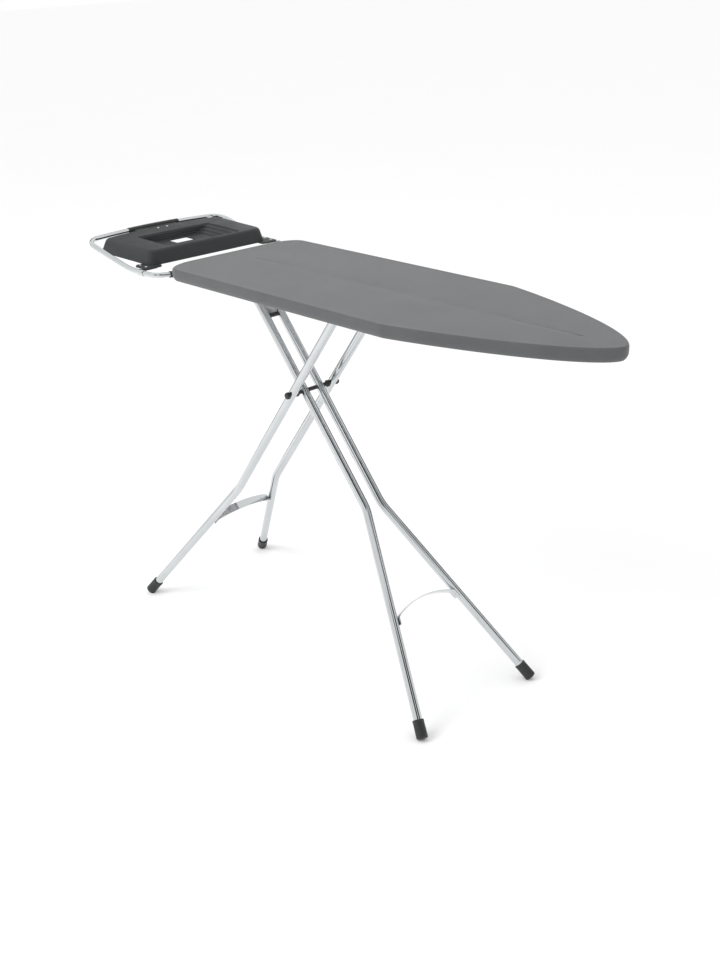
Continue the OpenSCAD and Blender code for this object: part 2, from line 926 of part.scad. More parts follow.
module grip_screws() {
    color(steel)
        tray_frame()
            for (side = [-1, 1])
                translate([grip_screw_x, side * grip_screw_y, 0]) {
                    translate([0, 0, 0.1])
                        cylinder(h = 2.3, d = 7, $fn = 24);
                    translate([0, 0, flange_z])
                        cylinder(h = 0.2 - flange_z, d = 4, $fn = 24);
                }
}

// --- Inner legs ---

module inner_tube(side) {
    color(steel)
        scale([1, side, 1])
            inner_frame()
                leg_tube(inner_top_s, inner_bend_s, inner_foot_s, inner_half, inner_splay)
                    at_strap_tab(inner_strap_s, inner_bend_s, inner_half, inner_splay)
                        rivet_hole();
}
module inner_tube_left() inner_tube(1);
module inner_tube_right() inner_tube(-1);

inner_strap_s = (pivot_z - inner_strap_z) / sin(inner_slope);
outer_strap_s = (pivot_z - outer_strap_z) / sin(outer_slope);

// Centre line of the lower tube, as a distance from the plane of symmetry
function leg_y(s, bend_s, upper_y, splay) = upper_y + (s - bend_s) * tan(splay);

// Half span of a strap: its tabs lie against the inner sides of the tubes
function strap_half(s, bend_s, upper_y, splay) =
    leg_y(s, bend_s, upper_y, splay) - leg_d / 2 / cos(splay) - 0.1;

// Places its children at a strap's end: x runs down the tab and y towards the tube
module at_strap_tab(s, bend_s, upper_y, splay) {
    translate([s, strap_half(s, bend_s, upper_y, splay), 0])
        rotate([0, 0, splay])
            children();
}

// Hole through the tab and the tube's inner wall
module rivet_hole() {
    translate([strap_tab / 2, 0, 0])
        rod_y(-2 * strap_t, leg_d / 2, rivet_d + 2 * running_gap, $fn = 24);
}

// Flat strap that arches from one lower tube to the other, with a tab along each tube
module strap(s, bend_s, upper_y, splay) {
    reach = strap_half(s, bend_s, upper_y, splay) - strap_t / 2;
    arch_r = (reach * reach + strap_rise * strap_rise) / (2 * strap_rise);
    arch_a = asin(reach / arch_r);
    difference() {
        union() {
            translate([s - strap_rise + arch_r, 0, -strap_w / 2])
                rotate([0, 0, 180 - arch_a])
                    rotate_extrude(angle = 2 * arch_a, $fn = 180)
                        translate([arch_r - strap_t, 0])
                            square([strap_t, strap_w]);
            for (side = [-1, 1])
                scale([1, side, 1])
                    at_strap_tab(s, bend_s, upper_y, splay)
                        translate([-1, -strap_t, -strap_tab_w / 2])
                            cube([strap_tab, strap_t, strap_tab_w]);
        }
        for (side = [-1, 1])
            scale([1, side, 1])
                at_strap_tab(s, bend_s, upper_y, splay)
                    rivet_hole();
    }
}

// Domed rivets that hold a strap's two tabs
module strap_rivets(s, bend_s, upper_y, splay) {
    for (side = [-1, 1])
        scale([1, side, 1])
            at_strap_tab(s, bend_s, upper_y, splay)
                translate([strap_tab / 2, 0, 0]) {
                    rod_y(-strap_t, 3, rivet_d, $fn = 24);
                    rod_y(-strap_t - 1.8, -strap_t, rivet_head_d, $fn = 24);
                }
}

module inner_strap() {
    color(steel)
        inner_frame()
            strap(inner_strap_s, inner_bend_s, inner_half, inner_splay);
}

module inner_strap_rivets() {
    color(steel)
        inner_frame()
            strap_rivets(inner_strap_s, inner_bend_s, inner_half, inner_splay);
}

module inner_foot(side) {
    color(black)
        above_floor()
            scale([1, side, 1])
                inner_frame()
                    foot_shape(inner_bend_s, inner_foot_s, inner_half, inner_splay);
}
module inner_foot_left() inner_foot(1);
module inner_foot_right() inner_foot(-1);

inner_face = inner_half - leg_d / 2 - 0.1;
cross_s = -(cross_z - pivot_z) / sin(inner_slope);
cross_plate_len = 34;

module inner_cross_spacer() {
    color(black)
        inner_frame()
            translate([cross_s, 0, 0])
                rod_y(-inner_face, inner_face, cross_spacer_d);
}

module inner_cross_plate() {
    color(steel)
        inner_frame()
            translate([cross_s - cross_spacer_d / 2 - cross_plate_len - 0.5, 0, 0]) {
                translate([0, -inner_face, -1])
                    cube([cross_plate_len, 2 * inner_face, 2]);
                for (y = [-inner_face, inner_face - 1.5])
                    translate([0, y, -4])
                        cube([cross_plate_len, 1.5, 8]);
            }
}

// --- Crossing pivot ---

module at_pivot() {
    translate([pivot_x, 0, pivot_z])
        children();
}

outer_face = outer_half + leg_d / 2 + side_gap;

module pivot_axle() {
    color(steel)
        at_pivot()
            rod_y(-outer_face - pivot_cap_t + 2, outer_face + pivot_cap_t - 2, axle_d);
}

module pivot_center_spacer() {
    color(black)
        at_pivot()
            difference() {
                rod_y(-inner_face, inner_face, spacer_d);
                rod_y(-inner_face - eps, inner_face + eps, axle_d + 2 * running_gap);
            }
}

module pivot_bushes() {
    y0 = inner_half + leg_d / 2 + 0.1;
    y1 = outer_half - leg_d / 2 - side_gap;
    color(black)
        at_pivot()
            for (side = [-1, 1])
                scale([1, side, 1])
                    difference() {
                        union() {
                            rod_y(y0, y1 - bush_flange_t, spacer_d);
                            rod_y(y1 - bush_flange_t, y1, bush_flange_d);
                        }
                        rod_y(y0 - eps, y1 + eps, axle_d + 2 * running_gap);
                    }
}

module pivot_caps() {
    color(black)
        at_pivot()
            for (side = [-1, 1])
                scale([1, side, 1])
                    difference() {
                        union() {
                            rod_y(outer_face, outer_face + pivot_cap_t - 2, pivot_cap_d);
                            translate([0, outer_face + pivot_cap_t - 2, 0])
                                rotate([-90, 0, 0])
                                    cylinder(h = 2, d1 = pivot_cap_d, d2 = pivot_cap_d - 5);
                        }
                        rod_y(outer_face - eps, outer_face + pivot_cap_t - 2 + running_gap,
                            axle_d + 2 * running_gap);
                    }
}

module hinge_spacers() {
    outside = inner_half + leg_d / 2 + 0.1;
    color(black)
        translate([tail_axle_x, 0, axle_z])
            difference() {
                union() {
                    rod_y(-inner_face, inner_face, 13);
                    for (y = [-ear_y + 0.4, outside])
                        translate([0, y, 0])
                            rod_y(0, ear_y - 0.4 - outside, 16);
                }
                rod_y(-ear_y, ear_y, axle_d + 2 * running_gap);
            }
}

// --- Outer legs ---

module outer_tube(side) {
    color(steel)
        scale([1, side, 1])
            outer_frame()
                leg_tube(outer_top_s, outer_bend_s, outer_foot_s, outer_half, outer_splay)
                    at_strap_tab(outer_strap_s, outer_bend_s, outer_half, outer_splay)
                        rivet_hole();
}
module outer_tube_left() outer_tube(1);
module outer_tube_right() outer_tube(-1);

module outer_strap() {
    color(steel)
        outer_frame()
            strap(outer_strap_s, outer_bend_s, outer_half, outer_splay);
}

module outer_strap_rivets() {
    color(steel)
        outer_frame()
            strap_rivets(outer_strap_s, outer_bend_s, outer_half, outer_splay);
}

module outer_foot(side) {
    color(black)
        above_floor()
            scale([1, side, 1])
                outer_frame()
                    foot_shape(outer_bend_s, outer_foot_s, outer_half, outer_splay);
}
module outer_foot_left() outer_foot(1);
module outer_foot_right() outer_foot(-1);

roller_y = track_y + 3;

module slide_axle() {
    color(steel)
        translate([slide_axle_x, 0, axle_z])
            rod_y(-roller_y - roller_w - 1, roller_y + roller_w + 1, axle_d);
}

module slide_rollers() {
    color(black)
        translate([slide_axle_x, 0, axle_z])
            for (side = [-1, 1])
                scale([1, side, 1])
                    difference() {
                        rod_y(roller_y, roller_y + roller_w, roller_d);
                        rod_y(roller_y - eps, roller_y + roller_w + eps,
                            axle_d + 2 * running_gap);
                    }
}

fabric_cover();
cover_elastic();
foam_pad();
deck_plate();
deck_rim();
tail_cross_member();
mid_cross_member();
nose_cross_member();
track_left();
track_right();
tail_hinge_bracket();
tail_hinge_axle();
lever_spring();
hoop_tube();
hoop_clamps();
clamp_screws();
hoop_sleeves();
iron_rest_tray();
tray_clips();
tray_rivets();
hoop_grip();
grip_screws();
lever_rod();
lever_comb();
lever_arm();
lever_grip();
inner_tube_left();
inner_tube_right();
inner_strap();
inner_strap_rivets();
inner_cross_plate();
inner_cross_spacer();
pivot_axle();
pivot_center_spacer();
pivot_bushes();
pivot_caps();
hinge_spacers();
inner_foot_left();
inner_foot_right();
outer_tube_left();
outer_tube_right();
outer_strap();
outer_strap_rivets();
outer_foot_left();
outer_foot_right();
slide_axle();
slide_rollers();
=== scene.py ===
import math

import bpy
from mathutils import Matrix, Vector, noise


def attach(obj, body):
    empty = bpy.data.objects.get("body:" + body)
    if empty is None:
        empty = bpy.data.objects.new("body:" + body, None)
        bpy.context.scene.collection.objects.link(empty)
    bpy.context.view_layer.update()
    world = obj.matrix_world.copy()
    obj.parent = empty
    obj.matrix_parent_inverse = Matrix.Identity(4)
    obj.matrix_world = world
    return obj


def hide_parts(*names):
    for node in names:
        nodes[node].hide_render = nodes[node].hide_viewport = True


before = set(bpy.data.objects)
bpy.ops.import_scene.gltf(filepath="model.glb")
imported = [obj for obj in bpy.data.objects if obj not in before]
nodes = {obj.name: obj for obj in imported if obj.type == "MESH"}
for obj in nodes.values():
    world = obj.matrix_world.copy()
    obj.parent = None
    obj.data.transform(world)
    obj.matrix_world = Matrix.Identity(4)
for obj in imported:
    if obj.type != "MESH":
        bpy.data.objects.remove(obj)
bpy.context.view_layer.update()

# Folding ironing board. Lengths in this script are millimetres, as in the CAD source, and
# become metres when a mesh is made.
MM = 0.001


def rad(degrees):
    return math.radians(degrees)


# --- Sizes that the CAD source states ---

PIVOT_X, PIVOT_Z = -141.0, 665.6
DECK_LENGTH, HALF_WIDTH, DECK_TOP, EDGE_H = 1216.0, 203.5, 958.0, 29.0
TAIL_X = PIVOT_X - 295
NOSE_X = TAIL_X + DECK_LENGTH
NOSE_LENGTH, CORNER_X, CORNER_Y = 457.0, 50.0, 82.0
NOSE_POWER_X, NOSE_POWER_Y = 1.08, 1.7
NOSE_START = NOSE_X - NOSE_LENGTH
EDGE_Z = DECK_TOP - EDGE_H
AXLE_Z = 918.5
LEG_D, LEG_WALL, LEG_BEND_R = 21.0, 1.2, 110.0
INNER = dict(slope=50.1, bend_z=415.0, half=24.4, foot_half=188.8, strap_z=213.0, flip=1)
OUTER = dict(slope=52.5, bend_z=347.0, half=63.3, foot_half=201.6, strap_z=255.0, flip=-1)
HOOP_X, HOOP_Z, HOOP_TILT, HOOP_R = PIVOT_X - 422.5, 932.9, 12.5, 6.0
HOOP_REACH, HOOP_HALF, HOOP_BEND_R, HOOP_CORNER_R = 214.0, 213.7, 300.0, 39.7
HOOP_BOW_R, HOOP_ROLL, HOOP_INNER_X, HOOP_ELBOW_R = 1492.0, 6.5, PIVOT_X - 323.5, 24.0
HOOP_ENTRY, HOOP_ENTRY_R = 112.0, 30.0
TAIL_MEMBER_X = PIVOT_X - 245
NOSE_MEMBER_X = PIVOT_X + 485
TRAY_X, TRAY_Z, TRAY_TILT = PIVOT_X - 383.9, 978.1, 1.1
TRAY_L, TRAY_INNER, TRAY_OUTER, TRAY_H, TRAY_BOW = 206.0, 175.0, 180.0, 36.0, 14.0
TRAY_INNER_DRAFT, TRAY_OUTER_DRAFT, TRAY_WALL, TRAY_CORNER_R = 8.0, 16.0, 2.6, 20.0
PAN_IN, PAN_OUT, HOLE_IN, HOLE_OUT, HOLE_HALF = 12.0, 154.0, 96.0, 138.0, 29.0
LUG_X, LUG_Y, LUG_L, LUG_W, LUG_T, LUG_Z = 3.0, 182.5, 50.0, 49.0, 4.2, -TRAY_H - 2.3
CLIP_T, RIVET_XS, RIVET_Y = 1.6, (-7.0, 18.0), 197.0
GRIP_HALF, FLANGE_IN, FLANGE_HALF, GRIP_SCREW_X, GRIP_SCREW_Y = 80.0, 192.0, 66.0, 201.0, 14.0
LEVER_Y, LEVER_Z, ROD_R = -50.0, 938.5, 3.5

for leg in (INNER, OUTER):
    sine = math.sin(rad(leg["slope"]))
    leg["top_s"] = -(AXLE_Z - PIVOT_Z) / sine
    leg["bend_s"] = (PIVOT_Z - leg["bend_z"]) / sine
    leg["foot_s"] = PIVOT_Z / sine
    leg["strap_s"] = (PIVOT_Z - leg["strap_z"]) / sine
    leg["splay"] = math.atan((leg["foot_half"] - leg["half"]) / (leg["foot_s"] - leg["bend_s"]))


# --- Frames of reference ---

def leg_point(leg, x, y, z=0.0):
    """x runs down the leg from the pivot, z points outwards and up."""
    a = rad(leg["slope"])
    out = x * math.cos(a) + z * math.sin(a)
    return Vector((PIVOT_X + leg["flip"] * out, y, PIVOT_Z - x * math.sin(a) + z * math.cos(a)))


def hoop_point(u, v, w=0.0):
    """u runs outwards and up from the bend in the hoop's legs."""
    a = rad(HOOP_TILT)
    return Vector((HOOP_X - u * math.cos(a) + w * math.sin(a), v,
                   HOOP_Z + u * math.sin(a) + w * math.cos(a)))


def tray_point(u, v, w=0.0):
    """u runs outwards from the tray's inner top edge, w = 0 is the top face."""
    a = rad(TRAY_TILT)
    return Vector((TRAY_X - u * math.cos(a) + w * math.sin(a), v,
                   TRAY_Z + u * math.sin(a) + w * math.cos(a)))


# --- Node materials ---

class Shader:
    """A new material with a Principled shader and short helpers for its node tree."""

    def __init__(self, name, **values):
        self.material = bpy.data.materials.new(name)
        self.material.use_nodes = True
        self.tree = self.material.node_tree
        self.bsdf = self.tree.nodes["Principled BSDF"]
        for key, value in values.items():
            self.bsdf.inputs[key.replace("_", " ")].default_value = value

    def add(self, kind, links=()):
        node = self.tree.nodes.new(kind)
        for name, source in links:
            self.tree.links.new(source, node.inputs[name])
        return node

    def link(self, source, name):
        self.tree.links.new(source, self.bsdf.inputs[name])

    def place(self, uv=None, stretch=(1, 1, 1)):
        """Object coordinates, or those of a UV map, scaled per axis."""
        if uv:
            unrolled = self.add("ShaderNodeUVMap")
            unrolled.uv_map = uv
            source = unrolled.outputs["UV"]
        else:
            source = self.add("ShaderNodeTexCoord").outputs["Object"]
        mapping = self.add("ShaderNodeMapping", [("Vector", source)])
        mapping.inputs["Scale"].default_value = stretch
        return mapping.outputs["Vector"]

    def noise(self, vector, scale, detail=3.0, rough=0.5):
        node = self.add("ShaderNodeTexNoise", [("Vector", vector)])
        node.inputs["Scale"].default_value = scale
        node.inputs["Detail"].default_value = detail
        node.inputs["Roughness"].default_value = rough
        return node.outputs["Fac"]

    def math(self, operation, a, b=0.0, c=0.0):
        node = self.tree.nodes.new("ShaderNodeMath")
        node.operation = operation
        for i, value in enumerate((a, b, c)):
            if isinstance(value, (int, float)):
                node.inputs[i].default_value = value
            else:
                self.tree.links.new(value, node.inputs[i])
        return node.outputs[0]

    def spread(self, source, low, high, a=0.0, b=1.0):
        """Maps a value from a..b to low..high."""
        node = self.tree.nodes.new("ShaderNodeMapRange")
        for name, value in (("From Min", a), ("From Max", b), ("To Min", low), ("To Max", high)):
            node.inputs[name].default_value = value
        self.tree.links.new(source, node.inputs["Value"])
        return node.outputs["Result"]

    def tint(self, source, first, second):
        """A colour between two, by a value from 0 to 1."""
        node = self.tree.nodes.new("ShaderNodeMix")
        node.data_type = "RGBA"
        node.inputs[6].default_value = (*first, 1)
        node.inputs[7].default_value = (*second, 1)
        self.tree.links.new(source, node.inputs[0])
        return node.outputs[2]

    def bump(self, height, strength, distance, after=None):
        node = self.tree.nodes.new("ShaderNodeBump")
        node.inputs["Strength"].default_value = strength
        node.inputs["Distance"].default_value = distance
        self.tree.links.new(height, node.inputs["Height"])
        if after is not None:
            self.tree.links.new(after, node.inputs["Normal"])
        return node.outputs["Normal"]


def thread_wave(shader, vector, axis, period):
    """Rounded threads across one axis, 0 to 1, with that period in metres."""
    parts = shader.tree.nodes.new("ShaderNodeSeparateXYZ")
    shader.tree.links.new(vector, parts.inputs[0])
    turns = shader.math("MULTIPLY", parts.outputs[axis], 2 * math.pi / period)
    return shader.math("MULTIPLY_ADD", shader.math("SINE", turns), 0.5, 0.5)


def cotton():
    s = Shader("woven_cotton", Roughness=0.92, Sheen_Weight=0.25, Sheen_Roughness=0.5)
    s.bsdf.inputs["Specular IOR Level"].default_value = 0.18
    flat, thread_pitch = s.place(uv="cloth"), 0.0011
    warp = thread_wave(s, flat, "X", thread_pitch)
    weft = thread_wave(s, flat, "Y", thread_pitch)
    checks = s.math("MULTIPLY", s.math("SUBTRACT", warp, 0.5), s.math("SUBTRACT", weft, 0.5))
    weave = s.math("MULTIPLY_ADD", checks, 2.0, 0.5)
    slubs_long = s.noise(s.place(uv="cloth", stretch=(14, 900, 1)), 1.0, 2.0)
    slubs_cross = s.noise(s.place(uv="cloth", stretch=(900, 14, 1)), 1.0, 2.0)
    slubs = s.math("MULTIPLY", s.math("ADD", slubs_long, slubs_cross), 0.5)
    cloud = s.noise(flat, 7.0, 3.0, 0.55)
    fibre = s.noise(flat, 2600.0, 2.0)
    shade = s.math("ADD", s.spread(slubs, -0.22, 0.22, 0.3, 0.7), s.spread(cloud, 0.3, 0.7, 0.3, 0.7))
    shade = s.math("ADD", shade, s.spread(weave, -0.12, 0.12))
    s.link(s.tint(shade, (0.086, 0.089, 0.092), (0.120, 0.123, 0.126)), "Base Color")
    s.link(s.spread(fibre, 0.86, 0.98, 0.3, 0.7), "Roughness")
    coarse = s.bump(slubs, 0.25, 0.0004)
    s.link(s.bump(s.math("ADD", weave, s.math("MULTIPLY", fibre, 0.4)), 0.5, 0.00022, coarse),
           "Normal")
    return s.material


def felt():
    s = Shader("foam_felt", Roughness=0.95, Sheen_Weight=0.2)
    at = s.place()
    fibres = s.noise(at, 900.0, 4.0, 0.7)
    patch = s.noise(at, 30.0, 3.0)
    s.link(s.tint(s.math("MULTIPLY_ADD", fibres, 0.6, s.math("MULTIPLY", patch, 0.4)),
                  (0.62, 0.59, 0.52), (0.86, 0.84, 0.77)), "Base Color")
    s.link(s.spread(patch, 0.9, 1.0), "Roughness")
    s.link(s.bump(fibres, 0.6, 0.0006), "Normal")
    return s.material


def chrome():
    s = Shader("chrome_plate", Metallic=1.0, Roughness=0.07)
    at = s.place()
    haze = s.noise(at, 11.0, 3.0)
    fine = s.noise(at, 420.0, 3.0, 0.6)
    s.link(s.tint(haze, (0.54, 0.56, 0.57), (0.66, 0.68, 0.69)), "Base Color")
    rough = s.math("ADD", s.spread(haze, 0.045, 0.11, 0.3, 0.7), s.spread(fine, 0.0, 0.04, 0.5, 0.8))
    s.link(rough, "Roughness")
    wave = s.noise(at, 60.0, 2.0)
    s.link(s.bump(fine, 0.05, 0.00003, s.bump(wave, 0.06, 0.0002)), "Normal")
    return s.material


def zinc():
    s = Shader("zinc_plate", Metallic=1.0, Roughness=0.32)
    at = s.place()
    grains = s.add("ShaderNodeTexVoronoi", [("Vector", at)])
    grains.inputs["Scale"].default_value = 650.0
    cloud = s.noise(at, 45.0, 3.0)
    s.link(s.tint(cloud, (0.55, 0.56, 0.57), (0.72, 0.73, 0.74)), "Base Color")
    s.link(s.spread(cloud, 0.24, 0.42, 0.3, 0.7), "Roughness")
    s.link(s.bump(grains.outputs["Distance"], 0.12, 0.0001), "Normal")
    return s.material


def powder_coat():
    s = Shader("powder_coat", Roughness=0.42)
    at = s.place()
    peel = s.noise(at, 520.0, 2.0)
    cloud = s.noise(at, 16.0, 3.0)
    s.link(s.tint(cloud, (0.50, 0.515, 0.525), (0.58, 0.59, 0.60)), "Base Color")
    s.link(s.spread(cloud, 0.36, 0.5, 0.3, 0.7), "Roughness")
    s.link(s.bump(peel, 0.18, 0.00018), "Normal")
    return s.material


def moulded(name, dark, light, low, high, grain=1500.0, depth=0.00012):
    """Moulded plastic with a fine eroded grain and soft cloudy changes in gloss."""
    s = Shader(name, Roughness=0.5)
    at = s.place()
    erosion = s.noise(at, grain, 2.0, 0.6)
    cloud = s.noise(at, 24.0, 4.0, 0.6)
    edge = s.add("ShaderNodeNewGeometry").outputs["Pointiness"]
    worn = s.spread(edge, 0.0, 0.55, 0.5, 0.62)
    s.link(s.tint(s.math("ADD", s.math("MULTIPLY", cloud, 0.6), worn), dark, light), "Base Color")
    s.link(s.math("ADD", s.spread(cloud, low, high, 0.3, 0.7), s.spread(erosion, 0.0, 0.06)),
           "Roughness")
    s.link(s.bump(erosion, 0.35, depth), "Normal")
    return s.material


def elastic_braid():
    s = Shader("elastic_braid", Roughness=0.85, Sheen_Weight=0.2)
    flat = s.place(uv="cloth")
    ribs = thread_wave(s, flat, "X", 0.0016)
    fibres = s.noise(flat, 1800.0, 2.0)
    s.link(s.tint(s.math("MULTIPLY_ADD", fibres, 0.5, s.math("MULTIPLY", ribs, 0.5)),
                  (0.035, 0.035, 0.037), (0.10, 0.10, 0.105)), "Base Color")
    s.link(s.spread(fibres, 0.75, 0.95), "Roughness")
    s.link(s.bump(ribs, 0.7, 0.0004), "Normal")
    return s.material


COTTON, FELT, CHROME, ZINC, COAT = cotton(), felt(), chrome(), zinc(), powder_coat()
TRAY = moulded("charcoal_plastic", (0.016, 0.019, 0.020), (0.034, 0.038, 0.040), 0.44, 0.58,
               grain=1100.0, depth=0.0002)
BLACK = moulded("black_plastic", (0.011, 0.012, 0.012), (0.030, 0.031, 0.032), 0.36, 0.5)
ELASTIC = elastic_braid()


# --- Mesh helpers ---

def piece(name, verts, faces, body, material, stands_for=(), sharp=35.0, uv=None):
    """A new mesh object that rides on a body. Points are in millimetres."""
    mesh = bpy.data.meshes.new(name)
    mesh.from_pydata([tuple(c * MM for c in v) for v in verts], [], faces)
    mesh.materials.append(material)
    if uv:
        layer = mesh.uv_layers.new(name="cloth")
        for loop in mesh.loops:
            layer.data[loop.index].uv = [c * MM for c in uv[loop.vertex_index]]
    mesh.validate()
    mesh.shade_smooth()
    mesh.set_sharp_from_angle(angle=rad(sharp))
    obj = bpy.data.objects.new(name, mesh)
    bpy.context.scene.collection.objects.link(obj)
    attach(obj, body)
    if stands_for:
        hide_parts(*stands_for)
    return obj


class Shape:
    """Collects rings of points into one mesh."""

    def __init__(self):
        self.verts, self.faces = [], []

    def add(self, verts, faces):
        base = len(self.verts)
        self.verts += [Vector(v) for v in verts]
        self.faces += [tuple(i + base for i in f) for f in faces]

    def rings(self, rings, start_cap=False, end_cap=False, loop=False):
        """Quads between rings of equal length, each a closed ring."""
        n, base = len(rings[0]), len(self.verts)
        for ring in rings:
            self.verts += [Vector(p) for p in ring]
        count = len(rings)
        for k in range(count if loop else count - 1):
            a, b = base + k * n, base + (k + 1) % count * n
            for i in range(n):
                j = (i + 1) % n
                self.faces.append((a + i, a + j, b + j, b + i))
        if start_cap:
            self.faces.append(tuple(base + i for i in reversed(range(n))))
        if end_cap:
            self.faces.append(tuple(base + (count - 1) * n + i for i in range(n)))

    def make(self, name, body, material, stands_for=(), sharp=35.0):
        return piece(name, self.verts, self.faces, body, material, stands_for, sharp)


def frames(path, first=None):
    """Tangent and two normals at each point of a path, carried along without twist."""
    points = [Vector(p) for p in path]
    tangents = []
    for i in range(len(points)):
        a, b = points[max(i - 1, 0)], points[min(i + 1, len(points) - 1)]
        tangents.append((b - a).normalized())
    normal = Vector(first) if first is not None else tangents[0].orthogonal()
    out = []
    for p, t in zip(points, tangents):
        normal = (normal - normal.dot(t) * t).normalized()
        out.append((p, t, normal, t.cross(normal)))
    return out


def ring_at(frame_of, radius, sides, offset=0.0):
    """Circle round a point of a path, moved along the path by an offset."""
    p, t, n, b = frame_of
    return [p + t * offset + n * (radius * math.cos(2 * math.pi * i / sides))
            + b * (radius * math.sin(2 * math.pi * i / sides)) for i in range(sides)]


def tube(shape, path, radius, wall=None, sides=40, lip=0.5):
    """Round tube along a path. With a wall its ends are open, otherwise closed and rounded."""
    run, bore = frames(path), 24.0
    rings = []
    if wall:
        inside = radius - wall
        rings += [ring_at(run[0], inside, sides, bore), ring_at(run[0], inside, sides, lip * 0.6)]
        rings += [ring_at(run[0], inside + lip * 0.3, sides), ring_at(run[0], radius - lip, sides)]
    else:
        rings += [ring_at(run[0], radius * 0.6, sides), ring_at(run[0], radius - lip, sides)]
    rings.append(ring_at(run[0], radius - lip * 0.3, sides, lip * 0.3))
    rings.append(ring_at(run[0], radius, sides, lip))
    rings += [ring_at(f, radius, sides) for f in run[1:-1]]
    rings.append(ring_at(run[-1], radius, sides, -lip))
    rings.append(ring_at(run[-1], radius - lip * 0.3, sides, -lip * 0.3))
    rings.append(ring_at(run[-1], radius - lip, sides))
    if wall:
        rings += [ring_at(run[-1], inside + lip * 0.3, sides),
                  ring_at(run[-1], inside, sides, -lip * 0.6),
                  ring_at(run[-1], inside, sides, -bore)]
    else:
        rings.append(ring_at(run[-1], radius * 0.6, sides))
    shape.rings(rings, start_cap=not wall, end_cap=not wall)


def lathe(shape, origin, axis, profile, sides=48, fit=None):
    """Turned shape: profile is a list of (radius, distance along the axis)."""
    t = Vector(axis).normalized()
    n = t.orthogonal().normalized()
    b = t.cross(n)
    origin = Vector(origin)
    rings = []
    for r, d in profile:
        ring = []
        for i in range(sides):
            a = 2 * math.pi * i / sides
            r_here = fit(r, d, a) if fit else r
            ring.append(origin + t * d + (n * math.cos(a) + b * math.sin(a)) * r_here)
        rings.append(ring)
    shape.rings(rings, start_cap=profile[0][0] > 0, end_cap=profile[-1][0] > 0)


def dome(radius, height, steps=7):
    """Profile of a domed head from its rim at 0 to its crown at height."""
    out = [(radius - 0.25, 0.0), (radius, 0.25)]
    ball = (radius * radius + height * height) / (2 * height)
    for i in range(steps):
        a = math.asin(min(1, radius * 0.97 / ball)) * (1 - (i + 1) / steps)
        out.append((max(ball * math.sin(a), 0.01), height - ball + ball * math.cos(a)))
    return out


def cross_head(shape, origin, axis, radius, height, turn):
    """Domed screw head with a cross recess."""
    t = Vector(axis).normalized()
    n = t.orthogonal().normalized()
    b = t.cross(n)
    sides, rows, origin = 64, 14, Vector(origin)
    ball = (radius * radius + height * height) / (2 * height)
    rings = []
    for k in range(rows + 1):
        r = radius * (1 - k / rows) ** 0.8 if k < rows else 0.02
        ring = []
        for i in range(sides):
            a = 2 * math.pi * i / sides + turn
            x, y = r * math.cos(a), r * math.sin(a)
            d = height - ball + math.sqrt(max(ball * ball - r * r, 0))
            across, along = min(abs(x), abs(y)), max(abs(x), abs(y))
            if across < 0.14 * radius and along < 0.62 * radius:
                d -= 0.8 * height
            ring.append(origin + t * max(d, 0) + n * x + b * y)
        rings.append(ring)
    shape.rings(rings, end_cap=True)


def rounded_section(width, thickness, r, steps=4):
    """Rounded rectangle as (across, through) pairs."""
    out = []
    for cx, cy, start in ((1, 1, 0), (-1, 1, 90), (-1, -1, 180), (1, -1, 270)):
        for k in range(steps + 1):
            a = rad(start + 90 * k / steps)
            out.append((cx * (width / 2 - r) + r * math.cos(a),
                        cy * (thickness / 2 - r) + r * math.sin(a)))
    return out


def strip(shape, path, across, section):
    """Flat bar along a path. across is the direction of its width, the same all along."""
    points = [Vector(p) for p in path]
    across = Vector(across).normalized()
    rings = []
    for i, p in enumerate(points):
        t = (points[min(i + 1, len(points) - 1)] - points[max(i - 1, 0)]).normalized()
        through = across.cross(t).normalized()
        rings.append([p + across * x + through * y for x, y in section])
    shape.rings(rings, start_cap=True, end_cap=True)


def box(shape, place, low, high, r):
    """Box with rounded upright edges and chamfered ends in a frame given by place."""
    lx, ly, hx, hy = low[0], low[1], high[0], high[1]
    cx, cy = (lx + hx) / 2, (ly + hy) / 2
    rings = []
    for w, inset in ((low[2], r * 0.8), (low[2] + r * 0.3, r * 0.25), (low[2] + r, 0.0),
                     (high[2] - r, 0.0), (high[2] - r * 0.3, r * 0.25), (high[2], r * 0.8)):
        section = rounded_section(hx - lx - 2 * inset, hy - ly - 2 * inset, r)
        rings.append([place(cx + x, cy + y, w) for x, y in section])
    shape.rings(rings, start_cap=True, end_cap=True)


def arc(centre, radius, a0, a1, step):
    """Points of an arc in a plane from one angle to another, in degrees."""
    count = max(2, int(abs(a1 - a0) / step) + 1)
    return [(centre[0] + radius * math.cos(rad(a0 + (a1 - a0) * i / count)),
             centre[1] + radius * math.sin(rad(a0 + (a1 - a0) * i / count)))
            for i in range(count + 1)]


def dress(names, material, bevel, sharp=32.0):
    """Gives CAD nodes their material, with softened edges."""
    for name in names:
        obj = nodes[name]
        obj.data.materials.clear()
        obj.data.materials.append(material)
        weld = obj.modifiers.new("weld", "WELD")
        weld.merge_threshold = 2e-5
        if bevel:
            edge = obj.modifiers.new("edge", "BEVEL")
            edge.width = bevel * MM
            edge.segments = 2
            edge.limit_method = "ANGLE"
            edge.angle_limit = rad(sharp)
            edge.harden_normals = True
        obj.data.shade_smooth()
        obj.data.set_sharp_from_angle(angle=rad(sharp))


# --- Outline of the deck ---

